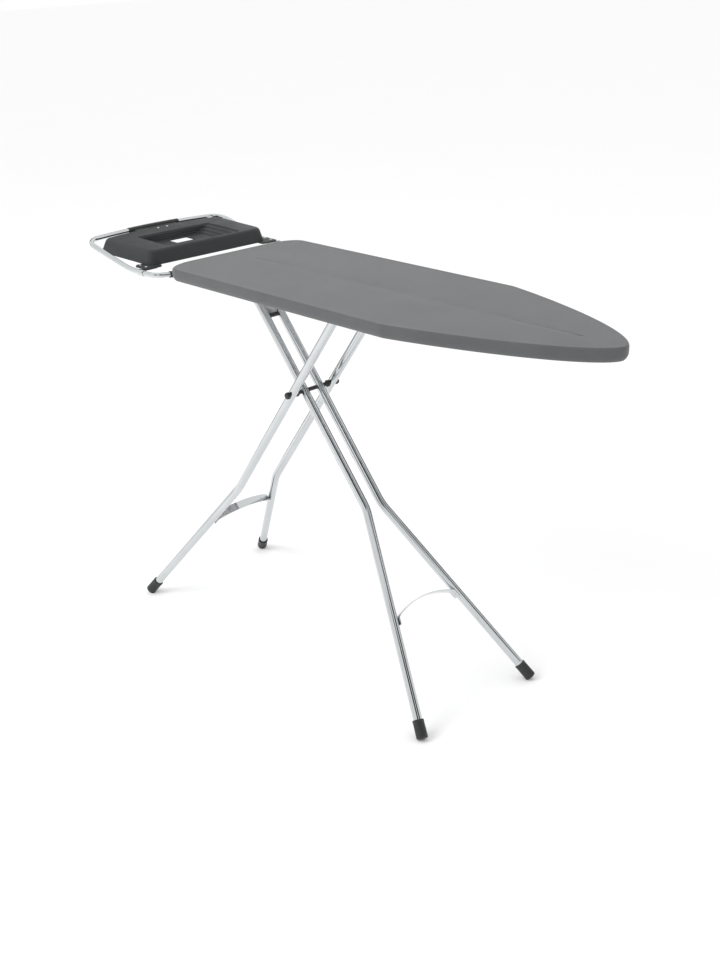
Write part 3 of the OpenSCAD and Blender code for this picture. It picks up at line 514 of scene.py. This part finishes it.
def outline_points(spacing):
    """Closed outline at even spacing: (x, y, outward x, outward y, distance along it)."""
    half, nose_steps = [], 1440
    for i in range(1, nose_steps + 1):
        a = rad(90 * (1 - i / nose_steps) ** 1.5)
        half.append((NOSE_START + NOSE_LENGTH * math.sin(a) ** (2 / NOSE_POWER_X),
                     HALF_WIDTH * max(math.cos(a), 0) ** (2 / NOSE_POWER_Y)))
    half += [(TAIL_X + CORNER_X * (1 + x), HALF_WIDTH - CORNER_Y * (1 - y))
             for x, y in arc((0, 0), 1.0, 90, 180, 1.0)]
    points = [(NOSE_X, 0.0)] + half + [(x, -y) for x, y in reversed(half)]
    lengths = [0.0]
    for (x0, y0), (x1, y1) in zip(points, points[1:] + points[:1]):
        lengths.append(lengths[-1] + math.hypot(x1 - x0, y1 - y0))
    count = 2 * int(lengths[-1] / spacing / 2)
    loop = points + points[:1]
    even, k = [], 0
    for i in range(count):
        d = lengths[-1] * i / count
        while lengths[k + 1] < d:
            k += 1
        f = (d - lengths[k]) / max(lengths[k + 1] - lengths[k], 1e-9)
        even.append((loop[k][0] + f * (loop[k + 1][0] - loop[k][0]),
                     loop[k][1] + f * (loop[k + 1][1] - loop[k][1]), d))
    out = []
    for i, (x, y, d) in enumerate(even):
        ax, ay, _ = even[i - 2]
        bx, by, _ = even[(i + 2) % count]
        size = math.hypot(bx - ax, by - ay)
        out.append((x, y, (by - ay) / size, -(bx - ax) / size, d))
    return out


def spine_x(i, count):
    """Where the cloth above a point of the outline meets the middle line."""
    short = 110
    tail, nose = TAIL_X + short, NOSE_X - short
    return nose + (tail - nose) * min(i, count - i) * 2 / count


def spine_faces(start, n):
    """Faces between the two halves of a ring that meets itself along the middle line."""
    out = []
    for i in range(n // 2):
        ring = [i, (i + 1) % n, n - i - 1, (n - i) % n]
        face = [start + v for m, v in enumerate(ring) if v not in ring[:m]]
        if len(face) > 2:
            out.append(tuple(face))
    return out


def curvature(outline, i, reach=9):
    """How sharply the outline turns near a point, from 0 to about 1."""
    a, b = outline[i - reach], outline[(i + reach) % len(outline)]
    turned = math.acos(max(-1, min(1, a[2] * b[2] + a[3] * b[3])))
    return min(1.0, turned * 2.2)


# --- Soft layers ---

COVER_ROUND, COVER_T = 5.0, 0.9
TUCK, TUCK_LEVEL_RUN, HEM_R = 11.0, 3.6, 1.3
ELASTIC_INSET, ELASTIC_R, STITCH_INSET = 17.3, 1.15, 12.2


def cover_profile():
    """Section of the cloth from the top's edge to the folded hem.

    Each row is (inset, height, outwards, upwards, distance along the cloth, slack)."""
    rows = []
    for k in range(7):
        a = rad(15 * k)
        rows.append((COVER_ROUND * (1 - math.sin(a)), DECK_TOP - COVER_ROUND * (1 - math.cos(a)),
                     math.sin(a), math.cos(a), COVER_ROUND * a, 0.0))
    # the side is a soft roll that tucks in under the rim
    run, belly = COVER_ROUND * math.pi / 2, EDGE_Z + 15.0
    rows.append((0.0, (rows[-1][1] + belly) / 2, 1.0, 0.0, run + 4.5, 0.15))
    run += rows[-2][1] - belly
    for k in range(9):
        a = rad(90 * k / 8)
        inset, z = TUCK * (1 - math.cos(a)), belly - 15.6 * math.sin(a)
        if k:
            run += math.hypot(inset - rows[-1][0], z - rows[-1][1])
        rows.append((inset, z, math.cos(a), -math.sin(a), run, 0.3 + 0.7 * k / 8))
    under, level = rows[-1][4], rows[-1][1]
    for k in range(1, 4):
        rows.append((TUCK + 1.2 * k, level, 0.0, -1.0, under + 1.2 * k, 1.0 + 0.7 * k / 3))
    # the hem is folded back on itself over the elastic
    for k in range(1, 7):
        a = rad(-90 + 32 * k)
        rows.append((TUCK + TUCK_LEVEL_RUN + HEM_R * math.cos(a), level + HEM_R * (1 + math.sin(a)),
                     -math.cos(a), math.sin(a), under + TUCK_LEVEL_RUN + HEM_R * rad(32 * k), 1.7))
    rows.append((TUCK, level + 2.5, 0.0, 1.0, under + 9.4, 1.5))
    return rows, level


def fold_angles(outline):
    """Angle of the wave of folds at each point, closer together where the outline turns."""
    n = len(outline)
    angles = [0.0]
    for i in range(1, n):
        step = outline[i][4] - outline[i - 1][4]
        pitch = 30.0 - 14.0 * curvature(outline, i)
        angles.append(angles[-1] + step * 2 * math.pi / pitch)
    whole = round(angles[-1] / (2 * math.pi)) * 2 * math.pi
    return [a * whole / angles[-1] * (n - 1) / n for a in angles]


def folds_at(x, y, angle):
    """Height of the small folds that the elastic pulls into the cloth, about -1 to 1."""
    wave = math.sin(angle) * 0.6 + math.sin(angle * 1.9 + 1.3) * 0.25
    return wave + noise.noise(Vector((x * 0.05, y * 0.05, 1.7))) * 0.9


def hem_lift(folds, slack, bent):
    """How far the folds raise the turned-in cloth."""
    return folds * max(0.0, slack - 0.9) * (0.5 + 0.6 * bent) * 0.8


def build_cover():
    outline = outline_points(4.5)
    n = len(outline)
    profile, level = cover_profile()
    angles = fold_angles(outline)

    # the top, from the middle line out to its edge, under a slight unevenness
    verts, uvs = [], []
    settle = 0.35
    for k in range(10, 0, -1):
        inward = (k / 10) ** 1.15
        for i, (x, y, nx, ny, _) in enumerate(outline):
            ex, ey = x - nx * COVER_ROUND, y - ny * COVER_ROUND
            px, py = ex + (spine_x(i, n) - ex) * inward, ey - ey * inward
            rise = noise.noise(Vector((px * 0.009, py * 0.012, 3.1))) * 0.35
            rise += noise.noise(Vector((px * 0.03, py * 0.03, 8.7))) * 0.12
            verts.append((px, py, DECK_TOP - settle + rise * min(1.0, inward * 6)))
            uvs.append((px, py))

    # the edge, the side and the hem
    for inset, z, out, up, run, slack in profile:
        for i, (x, y, nx, ny, _) in enumerate(outline):
            bent = curvature(outline, i)
            folds = folds_at(x, y, angles[i])
            push = out * folds * slack * slack * (0.22 + 0.35 * bent) - inset
            lift = hem_lift(folds, slack, bent) - settle * (up > 0.99)
            verts.append((x + nx * push, y + ny * push, z + lift))
            uvs.append((x + nx * (run - COVER_ROUND), y + ny * (run - COVER_ROUND)))

    faces = []
    for k in range(len(verts) // n - 1):
        for i in range(n):
            j = (i + 1) % n
            faces.append((k * n + i, k * n + j, (k + 1) * n + j, (k + 1) * n + i))
    faces += spine_faces(0, n)
    cover = piece("cover_cloth", verts, faces, "board", COTTON,
                  ("fabric_cover",), 70.0, uvs)
    thick = cover.modifiers.new("thickness", "SOLIDIFY")
    thick.thickness, thick.offset = COVER_T * MM, -1.0

    # braided elastic drawn through the fold of the hem, seen where the fold opens
    sides = 10
    verts, uvs, faces = [], [], []
    for k, (x, y, nx, ny, d) in enumerate(outline):
        for i in range(sides):
            a = 2 * math.pi * i / sides
            inset = ELASTIC_INSET - ELASTIC_R * math.cos(a)
            verts.append((x - nx * inset, y - ny * inset, EDGE_Z + 0.2 + ELASTIC_R * math.sin(a)))
            uvs.append((d, a * ELASTIC_R))
            j, near, far = (i + 1) % sides, k * sides, (k + 1) % n * sides
            faces.append((near + i, near + j, far + j, far + i))
    elastic = piece("hem_elastic", verts, faces, "board", ELASTIC,
                    ("cover_elastic",), 70.0, uvs)

    # stitches that close the hem
    stitches = Shape()
    slack = 1.0 + 0.7 * (STITCH_INSET - TUCK) / TUCK_LEVEL_RUN
    for i, (x, y, nx, ny, _) in enumerate(outline):
        lift = hem_lift(folds_at(x, y, angles[i]), slack, curvature(outline, i))
        p = Vector((x - nx * STITCH_INSET, y - ny * STITCH_INSET, level + 0.02 + lift))
        half = Vector((-ny, nx, 0)) * 1.35
        run = frames([p - half, p - Vector((0, 0, 0.33)), p + half])
        stitches.rings([ring_at(run[0], 0.1, 6), ring_at(run[1], 0.3, 6), ring_at(run[2], 0.1, 6)],
                       True, True)
    thread = stitches.make("hem_stitching", "board", COTTON, sharp=80)


def build_pad():
    outline = outline_points(9.0)
    n = len(outline)
    low, high = DECK_TOP - 8.0 + 0.05, DECK_TOP - 2.0 - 0.2

    def ring(inset, z, inward=0.0):
        """The outline moved in by an inset, then part of the way to the middle line."""
        points = []
        for i, (x, y, nx, ny, _) in enumerate(outline):
            px, py = x - nx * inset, y - ny * inset
            points.append((px + (spine_x(i, n) - px) * inward, py * (1 - inward), z))
        return points

    round_r, under_inset, over_inset, shares = 3.8, 9.0, 6.0, (0.1, 0.33, 0.66, 1.0)
    rings = [ring(under_inset, low, f) for f in reversed(shares)]
    rings += [ring(under_inset, low), ring(3.9, low), ring(3.1, low + 0.7), ring(2.9, low + 1.5)]
    for k in range(1, 7):
        a = rad(12 + 13 * k)
        rings.append(ring(6.7 - round_r * math.cos(a), high - round_r * (1 - math.sin(a))))
    rings += [ring(over_inset, high, f) for f in shares]
    shape = Shape()
    shape.rings(rings)
    shape.faces += [face[::-1] for face in spine_faces(0, n)]
    shape.faces += spine_faces((len(rings) - 1) * n, n)
    pad = shape.make("foam_felt_pad", "board", FELT, ("foam_pad",), 60)


# --- Hoop, tray and grip ---

def level_point(x, inwards):
    """A point of the hoop's level part, which is rolled inwards and down about the leg."""
    a = rad(HOOP_ROLL)
    return Vector((x, HOOP_HALF - inwards * math.cos(a), HOOP_Z - inwards * math.sin(a)))


def hoop_path():
    """Centre line of the whole hoop, from one end under the deck to the other."""
    bow_u = HOOP_REACH - HOOP_BOW_R
    v = HOOP_HALF - HOOP_CORNER_R
    reach = HOOP_BOW_R - HOOP_CORNER_R
    turned = math.degrees(math.asin(v / reach))
    half = arc((bow_u, 0), HOOP_BOW_R, 0, turned, 0.35)
    half += arc((bow_u + reach * math.cos(rad(turned)), v), HOOP_CORNER_R, turned, 90, 4)[1:]
    path = [hoop_point(a, b) for a, b in half]
    trim = HOOP_BEND_R * math.tan(rad(HOOP_TILT / 2))
    path += [Vector((x, HOOP_HALF, z)) for x, z in
             arc((HOOP_X + trim, HOOP_Z + HOOP_BEND_R), HOOP_BEND_R, 270 - HOOP_TILT, 270, 1.2)]
    depth = (HOOP_HALF - HOOP_ENTRY) / math.cos(rad(HOOP_ROLL))
    path += [level_point(x, -y) for x, y in
             arc((HOOP_INNER_X - HOOP_ELBOW_R, -HOOP_ELBOW_R), HOOP_ELBOW_R, 90, 0, 5)]
    path += [level_point(x, -y) for x, y in
             arc((HOOP_INNER_X + HOOP_ENTRY_R, HOOP_ENTRY_R - depth), HOOP_ENTRY_R, 180, 270, 5)]
    path.append(level_point(TAIL_MEMBER_X + 30, depth))
    return path[::-1] + [Vector((p.x, -p.y, p.z)) for p in path[1:]]


def build_hoop():
    shape = Shape()
    tube(shape, hoop_path(), HOOP_R, sides=40, lip=0.7)
    shape.make("hoop_bright_tube", "board", CHROME, ("hoop_tube",))

    # soft collars with a groove, on the stretch beside the deck's tail
    shape = Shape()
    section = [(6.05, 0.4), (6.6, 0.0), (7.4, 0.0), (7.9, 0.5), (8.0, 1.2), (8.0, 4.0), (7.4, 4.5),
               (7.4, 6.0), (8.0, 6.5), (8.0, 10.0), (7.5, 10.8), (6.6, 11.0), (6.05, 10.6)]
    for side in (1, -1):
        at, to = (level_point(HOOP_INNER_X, d) for d in (47.0, 58.0))
        at.y, to.y = side * at.y, side * to.y
        lathe(shape, at, to - at, section)
    shape.make("hoop_collars", "board", BLACK, ("hoop_sleeves",))


def plan_ring(x0, x1, inner_half, outer_half, r, w, bow=0.0, steps=8):
    """Rounded trapezoid in the tray's frame at one level, its outer edge bowed outwards."""
    out = []
    for cx, cy, start in ((x1 - r, outer_half - r, 0), (x0 + r, inner_half - r, 90),
                          (x0 + r, r - inner_half, 180), (x1 - r, r - outer_half, 270)):
        for k in range(steps + 1):
            a = rad(start + 90 * k / steps)
            out.append(tray_point(cx + r * math.cos(a), cy + r * math.sin(a), w))
    for k in range(1, 12):
        t = k / 6 - 1
        out.append(tray_point(x1 + bow * (1 - abs(t) ** 2.6), t * (outer_half - r), w))
    return out


def build_tray():
    shape = Shape()

    def outer(w, inset):
        grow = -w * TRAY_INNER_DRAFT / TRAY_H - inset
        far = -w * TRAY_OUTER_DRAFT / TRAY_H - inset
        return plan_ring(-grow, TRAY_L + far, TRAY_INNER + grow, TRAY_OUTER + grow,
                         max(TRAY_CORNER_R - inset, 2), w, TRAY_BOW)

    def pan(half, w, x_in, r=6.0):
        return plan_ring(PAN_IN + x_in, PAN_OUT - x_in, half, half, r, w)

    def hole(w, grow):
        half = HOLE_HALF + grow
        return plan_ring(HOLE_IN - grow, HOLE_OUT + grow, half, half, 2.6 + grow, w)

    # the skirt up to its rounded top edge
    shoulder = 8
    rings = [outer(-TRAY_H + 0.7, 0.0)]
    rings += [outer(w, 0.0) for w in (-28, -18, -shoulder)]
    for k in range(1, 10):
        a = rad(90 * k / 9)
        rings.append(outer(shoulder * (math.sin(a) - 1), shoulder * (1 - math.cos(a)) * 0.8))
    # three ledges step down to the floor at both ends
    rings += [pan(114.6, 0.0, -2.2, 8.0), pan(113.6, -0.15, -1.2, 7.0), pan(113.0, -0.7, -0.4)]
    x_in = 0.0
    for top, foot, drop in ((112.6, 101.5, 5.0), (100.5, 89.0, 10.5), (88.0, 78.0, 16.0)):
        x_in += 0.9
        rings += [pan(top, -drop + 0.8, x_in), pan(top - 0.9, -drop, x_in + 0.7)]
        rings += [pan(foot + 0.9, -drop - 0.1, x_in + 0.8), pan(foot, -drop - 0.8, x_in + 0.9)]
    rings += [pan(76.5, -20.3, 4.0), pan(75.3, -21.0, 5.2)]
    # the window with its raised lip, then the underside of the pan and the inside of the skirt
    rings += [hole(-21.0, 3.4), hole(-20.2, 2.5), hole(-20.0, 1.3), hole(-20.3, 0.4),
              hole(-21.2, 0.0), hole(-23.2, 0.0), hole(-23.6, 0.5)]
    rings += [pan(75.5, -23.6, 3.4), pan(77.4, -23.1, 1.4)]
    rings += [pan(115.6 - 38 * f, -23.6 * f, 4.0 * f - 2.6) for f in (0.75, 0.45, 0.16)]
    rings += [outer(-2.8, 9.5), outer(-4.0, 6.4), outer(-8.4, TRAY_WALL),
              outer(-TRAY_H + 0.6, TRAY_WALL), outer(-TRAY_H, TRAY_WALL - 0.6), outer(-TRAY_H, 0.7)]
    shape.rings(rings, loop=True)

    # stiffening ribs under the rim
    for y in (-66, -22, 22, 66):
        for x0, x1 in ((-1.6, PAN_IN), (PAN_OUT, 188.0)):
            box(shape, tray_point, (x0, y - 0.9, -20.0), (x1, y + 0.9, -3.2), 0.5)

    # lugs beside the two ends
    for side in (1, -1):
        rings = []
        for w, inset in ((0.0, 0.7), (0.5, 0.1), (1.0, 0.0), (3.3, 0.0), (3.9, 0.25), (LUG_T, 0.9)):
            section = rounded_section(LUG_L - 2 * inset, LUG_W - 2 * inset, 7 - inset, 6)
            rings.append([tray_point(LUG_X + x, side * LUG_Y + y, LUG_Z + w) for x, y in section])
        shape.rings(rings, True, True)
    shape.make("rest_tray_moulding", "board", TRAY, ("iron_rest_tray",), 40)


def build_grip():
    shape = Shape()
    angle = math.degrees(math.asin(GRIP_HALF / HOOP_BOW_R))
    path = [hoop_point(u, v)
            for u, v in arc((HOOP_REACH - HOOP_BOW_R, 0), HOOP_BOW_R, -angle, angle, 0.04)]
    run = frames(path, (0, 0, 1))
    rings = [ring_at(run[0], 6.06, 48, 0.5), ring_at(run[0], 6.3, 48)]
    for k, f in enumerate(run):
        d = 2 * GRIP_HALF * k / (len(run) - 1)
        near = min(d, 2 * GRIP_HALF - d)
        r = 7.25 - 0.8 * max(0.0, 1 - near / 1.6) ** 2
        if near > 7:
            wave = 0.5 + 0.5 * math.cos(2 * math.pi * (d - GRIP_HALF) / 5.2)
            r -= 0.25 * wave ** 3
        elif 4.6 < near < 6.2:
            r -= 0.35
        rings.append(ring_at(f, r, 48))
    rings += [ring_at(run[-1], 6.3, 48), ring_at(run[-1], 6.06, 48, -0.5)]
    shape.rings(rings)
    # the flange that enters the tray, with ribs under it
    box(shape, tray_point, (FLANGE_IN, -FLANGE_HALF, -6.3), (241.2, FLANGE_HALF, -2.8), 0.9)
    for y in (-50, -17, 17, 50):
        box(shape, tray_point, (225.5, y - 1.1, -9.0), (241.0, y + 1.1, -6.0), 0.5)
    shape.make("hoop_hand_grip", "board", BLACK, ("hoop_grip",))

    shape = Shape()
    up = tray_point(0, 0, 1) - tray_point(0, 0, 0)
    for side in (1, -1):
        at = tray_point(GRIP_SCREW_X, side * GRIP_SCREW_Y, 0.05)
        cross_head(shape, at, up, 3.5, 2.3, 0.4 * side)
        lathe(shape, at, -up, [(2.0, -0.1), (2.0, 8.6), (1.4, 9.2)], 20)
    shape.make("grip_screw_set", "board", ZINC, ("grip_screws",))

    shape = Shape()
    for side in (1, -1):
        for x in RIVET_XS:
            under, over = (tray_point(x, side * RIVET_Y, w) for w in (LUG_Z - CLIP_T, LUG_Z + LUG_T))
            lathe(shape, under, -up, dome(3.75, 1.9), 32)
            lathe(shape, over, up, dome(4.0, 1.8), 32)
            lathe(shape, under - up * 0.2, up, [(2.0, 0), (2.0, 6.2)], 20)
    shape.make("tray_rivet_set", "board", ZINC, ("tray_rivets",))


# --- Legs ---

def leg_path(leg, side):
    y0, splay = leg["half"], leg["splay"]
    trim, past_axle, short_of_foot, steps = LEG_BEND_R * math.tan(splay / 2), 8, 13, 12
    start, bend = leg["top_s"] - past_axle, leg["bend_s"] - trim
    points = [(start + (bend - start) * k / steps, y0) for k in range(steps)]
    points += arc((bend, y0 + LEG_BEND_R), LEG_BEND_R, -90, math.degrees(splay) - 90, 1.5)
    x1, y1 = points[-1]
    length = (leg["foot_s"] - leg["bend_s"]) / math.cos(splay) - trim - short_of_foot
    for k in range(1, steps + 1):
        d = length * k / steps
        points.append((x1 + d * math.cos(splay), y1 + d * math.sin(splay)))
    return [leg_point(leg, x, side * y) for x, y in points]


def build_legs(leg, body, word):
    """Two tubes with their foot caps, and the strap between them with its rivets."""
    splay = leg["splay"]
    for side, name in ((1, "left"), (-1, "right")):
        shape = Shape()
        path = leg_path(leg, side)
        tube(shape, path, LEG_D / 2, LEG_WALL, sides=64, lip=0.5)
        shape.make(f"{word}_leg_{name}", body, CHROME, (f"{word}_tube_{name}",))

        # foot cap: lipped mouth, shallow flutes, and a flat where it meets the floor
        shape = Shape()
        axis = (path[-1] - path[-2]).normalized()
        at = leg_point(leg, leg["foot_s"], side * leg["foot_half"])

        def fluted(r, d, a):
            if not -43.5 < d < -15.5 or r < 12:
                return r
            return r - 0.28 * max(0.0, math.cos(a * 18)) ** 2

        profile = [(10.55, -46), (10.55, -50.4), (10.9, -51.0), (12.7, -51.0), (13.35, -50.4),
                   (13.5, -49.6), (13.5, -46.6), (13.15, -46.1), (13.1, -45.4), (13.1, -44.0)]
        profile += [(13.12 + 0.3 * k / 10, -43.4 + 27.8 * k / 10) for k in range(11)]
        profile += [(13.45, -14.6), (13.5, -13.4), (13.5, -11.4), (13.2, -10.0), (12.3, -8.7),
                    (11.0, -8.05), (6.0, -8.0), (0.02, -8.0)]
        lathe(shape, at, axis, profile, 144, fluted)
        shape.verts = [Vector((v.x, v.y, max(v.z, 0.0))) for v in shape.verts]
        shape.make(f"{word}_foot_cap_{name}", body, BLACK,
                   (f"{word}_foot_{name}",), 45)

    # arched strap between the lower tubes, its tabs riveted to their inner sides
    s, rise, t = leg["strap_s"], 20.0, 2.0
    half = leg["half"] + (s - leg["bend_s"]) * math.tan(splay) - LEG_D / 2 / math.cos(splay) - 0.1
    reach = half - t / 2
    arch_r = (reach * reach + rise * rise) / (2 * rise)
    arch_a = math.degrees(math.asin(reach / arch_r))
    middle = arc((s - rise + arch_r, 0), arch_r - t / 2, 180 - arch_a, 180, 1.2)
    tab = []
    for d in (20.0, 15.0, 9.0, 4.0):
        tab.append((s + d * math.cos(splay) + t / 2 * math.sin(splay),
                    half + d * math.sin(splay) - t / 2 * math.cos(splay)))
    # each bend is a curve from the tab to the arch, drawn towards a knee point
    knee = (s + 0.4, half - t / 2)
    bend = [tuple((1 - f) ** 2 * a + 2 * f * (1 - f) * b + f * f * c
                  for a, b, c in zip(tab[-1], knee, middle[2]))
            for f in (0.15, 0.3, 0.45, 0.6, 0.75, 0.9)]
    half_run = tab + bend + middle[2:]
    flat = half_run + [(x, -y) for x, y in reversed(half_run[:-1])]
    shape = Shape()
    across = leg_point(leg, 0, 0, 1) - leg_point(leg, 0, 0, 0)
    strip(shape, [leg_point(leg, x, y) for x, y in flat], across, rounded_section(21.8, t, 0.75))
    shape.make(f"{word}_arched_strap", body, CHROME, (f"{word}_strap",), 50)

    # rivets half way down the strap's tabs
    shape = Shape()
    d = 10.0
    for side in (1, -1):
        x, y = s + d * math.cos(splay), half + d * math.sin(splay)
        inward = (leg_point(leg, x + math.sin(splay), side * (y - math.cos(splay)))
                  - leg_point(leg, x, side * y)).normalized()
        at = leg_point(leg, x, side * y) + inward * t
        lathe(shape, at, inward, dome(4.5, 1.8), 40)
        lathe(shape, at, -inward, [(2.5, -0.1), (2.5, 4.8)], 24)
    shape.make(f"{word}_strap_rivet_set", body, ZINC, (f"{word}_strap_rivets",))


def build_pivot():
    face = OUTER["half"] + LEG_D / 2 + 0.4
    shape = Shape()
    for side in (1, -1):
        at = Vector((PIVOT_X, side * face, PIVOT_Z))
        lathe(shape, at, (0, side, 0), [(4.05, 1.0), (4.05, 0.2), (4.6, 0.0), (8.1, 0.0), (8.5, 0.4),
                                       (8.5, 4.4), (8.2, 6.0), (7.3, 7.6), (5.6, 8.6), (3.0, 8.95),
                                       (0.02, 9.0)], 56)
    shape.make("pivot_end_caps", "inner_legs", BLACK, ("pivot_caps",))

    shape = Shape()
    y0, y1 = INNER["half"] + LEG_D / 2 + 0.1, OUTER["half"] - LEG_D / 2 - 0.4
    for side in (1, -1):
        at = Vector((PIVOT_X, 0, PIVOT_Z))
        lathe(shape, at, (0, side, 0), [(4.05, y0 + 1), (4.3, y0), (4.8, y0), (5.0, y0 + 0.3),
                                       (5.0, y1 - 7.2), (5.6, y1 - 6.2), (8.1, y1 - 6.0),
                                       (8.5, y1 - 5.5), (8.5, y1 - 0.5), (8.1, y1), (4.6, y1),
                                       (4.05, y1 - 0.6)], 48)
    shape.make("pivot_flanged_bushes", "inner_legs", BLACK, ("pivot_bushes",))


def build_spring():
    turns, per_turn, pitch, r = 6, 28, 2.1, ROD_R + 1.6
    member_half_w, clear = 15, 1.5
    x0 = NOSE_MEMBER_X + member_half_w + clear
    path = [(x0 + pitch * k / per_turn, LEVER_Y + r * math.cos(2 * math.pi * k / per_turn),
             LEVER_Z + r * math.sin(2 * math.pi * k / per_turn)) for k in range(turns * per_turn + 1)]
    shape = Shape()
    tube(shape, path, 0.8, sides=12, lip=0.15)
    shape.make("lever_coil", "board", ZINC, ("lever_spring",))


build_cover()
build_pad()
build_hoop()
build_tray()
build_grip()
build_legs(INNER, "inner_legs", "inner")
build_legs(OUTER, "outer_legs", "outer")
build_pivot()
build_spring()

dress(["deck_plate", "deck_rim"], COAT, 0.0)
dress(["tail_cross_member", "mid_cross_member", "nose_cross_member", "track_left", "track_right",
       "tail_hinge_bracket", "lever_comb", "lever_arm"], COAT, 0.3)
dress(["hoop_clamps", "clamp_screws", "inner_cross_plate", "lever_rod", "tail_hinge_axle",
       "pivot_axle", "slide_axle"], ZINC, 0.25)
dress(["tray_clips"], CHROME, 0.3)
dress(["lever_grip", "inner_cross_spacer", "pivot_center_spacer", "hinge_spacers",
       "slide_rollers"], BLACK, 0.4)


# --- Floor, light and camera, in metres ---

def matt(name, scale, detail, first, second):
    """A plain matt surface with a soft change between two tones of grey or black."""
    s = Shader(name, Roughness=0.9)
    s.link(s.tint(s.noise(s.place(), scale, detail), first, second), "Base Color")
    return s.material


def stage_plane(name, size, location, material, facing=None):
    mesh = bpy.data.meshes.new(name)
    x, y = size[0] / 2, size[1] / 2
    mesh.from_pydata([(-x, -y, 0), (x, -y, 0), (x, y, 0), (-x, y, 0)], [], [(0, 1, 2, 3)])
    mesh.materials.append(material)
    obj = bpy.data.objects.new(name, mesh)
    obj.location = location
    if facing is not None:
        towards = Vector(facing) - Vector(location)
        obj.rotation_mode = "QUATERNION"
        obj.rotation_quaternion = towards.to_track_quat("Z", "Y")
    bpy.context.scene.collection.objects.link(obj)
    return obj


def area_light(name, location, target, size, power):
    data = bpy.data.lights.new(name, "AREA")
    data.shape, data.size, data.energy = "SQUARE", size, power
    obj = bpy.data.objects.new(name, data)
    obj.location = location
    obj.rotation_mode = "QUATERNION"
    obj.rotation_quaternion = (Vector(target) - Vector(location)).to_track_quat("-Z", "Y")
    bpy.context.scene.collection.objects.link(obj)
    return obj


PALE, PALE_SHADE = (0.97, 0.97, 0.97), (0.95545, 0.95545, 0.95545)
stage_plane("floor", (60, 60), (0, 0, 0), matt("pale_floor", 2.0, 2.0, PALE, PALE_SHADE))

world = bpy.data.worlds.new("soft_studio")
bpy.context.scene.world = world
world.use_nodes = True
world.node_tree.nodes["Background"].inputs["Color"].default_value = (1.0, 1.0, 1.0, 1)
world.node_tree.nodes["Background"].inputs["Strength"].default_value = 1.0

key = area_light("key_light", (-1.5, -3.4, 3.6), (0, 0, 0.7), 2.6, 90)
key.visible_glossy = False

# dark flats that only mirror-like surfaces see, as round a studio table
flat_black = matt("dark_flat", 3.0, 3.0, (0.010, 0.012, 0.012), (0.022, 0.024, 0.024))
for name, size, location, facing in (
        ("flat_high_behind", (2.6, 3.0), (2.9, -2.6, 2.9), (0, 0, 0.7)),
        ("flat_high_side", (2.0, 2.6), (3.0, 0.9, 3.0), (0, 0, 0.7)),
        ("flat_far_side", (2.4, 1.5), (0.6, 3.4, 1.5), (0, 0, 0.7)),
        ("flat_past_tail", (1.1, 2.4), (-2.5, 0.65, 0.7), (0, 0.4, 0.7))):
    flat = stage_plane(name, size, location, flat_black, facing)
    flat.visible_camera = flat.visible_diffuse = flat.visible_shadow = False

# past the nose on the -Y side, above the deck, rolled by about 2 degrees
camera = bpy.data.cameras.new("camera")
camera.sensor_width = 36.0
camera.lens = 49.616
camera.clip_end = 100.0
view = bpy.data.objects.new("camera", camera)
right = Vector((0.67746614, 0.7348871, -0.0313141))
up = Vector((-0.2645769, 0.28318468, 0.92184896))
view.matrix_world = Matrix.Translation((2.20873, -1.9637309, 1.7006657)) @ Matrix(
    (right, up, right.cross(up))).transposed().to_4x4()
bpy.context.scene.collection.objects.link(view)
bpy.context.scene.camera = view
bpy.context.scene.view_settings.view_transform = "Standard"
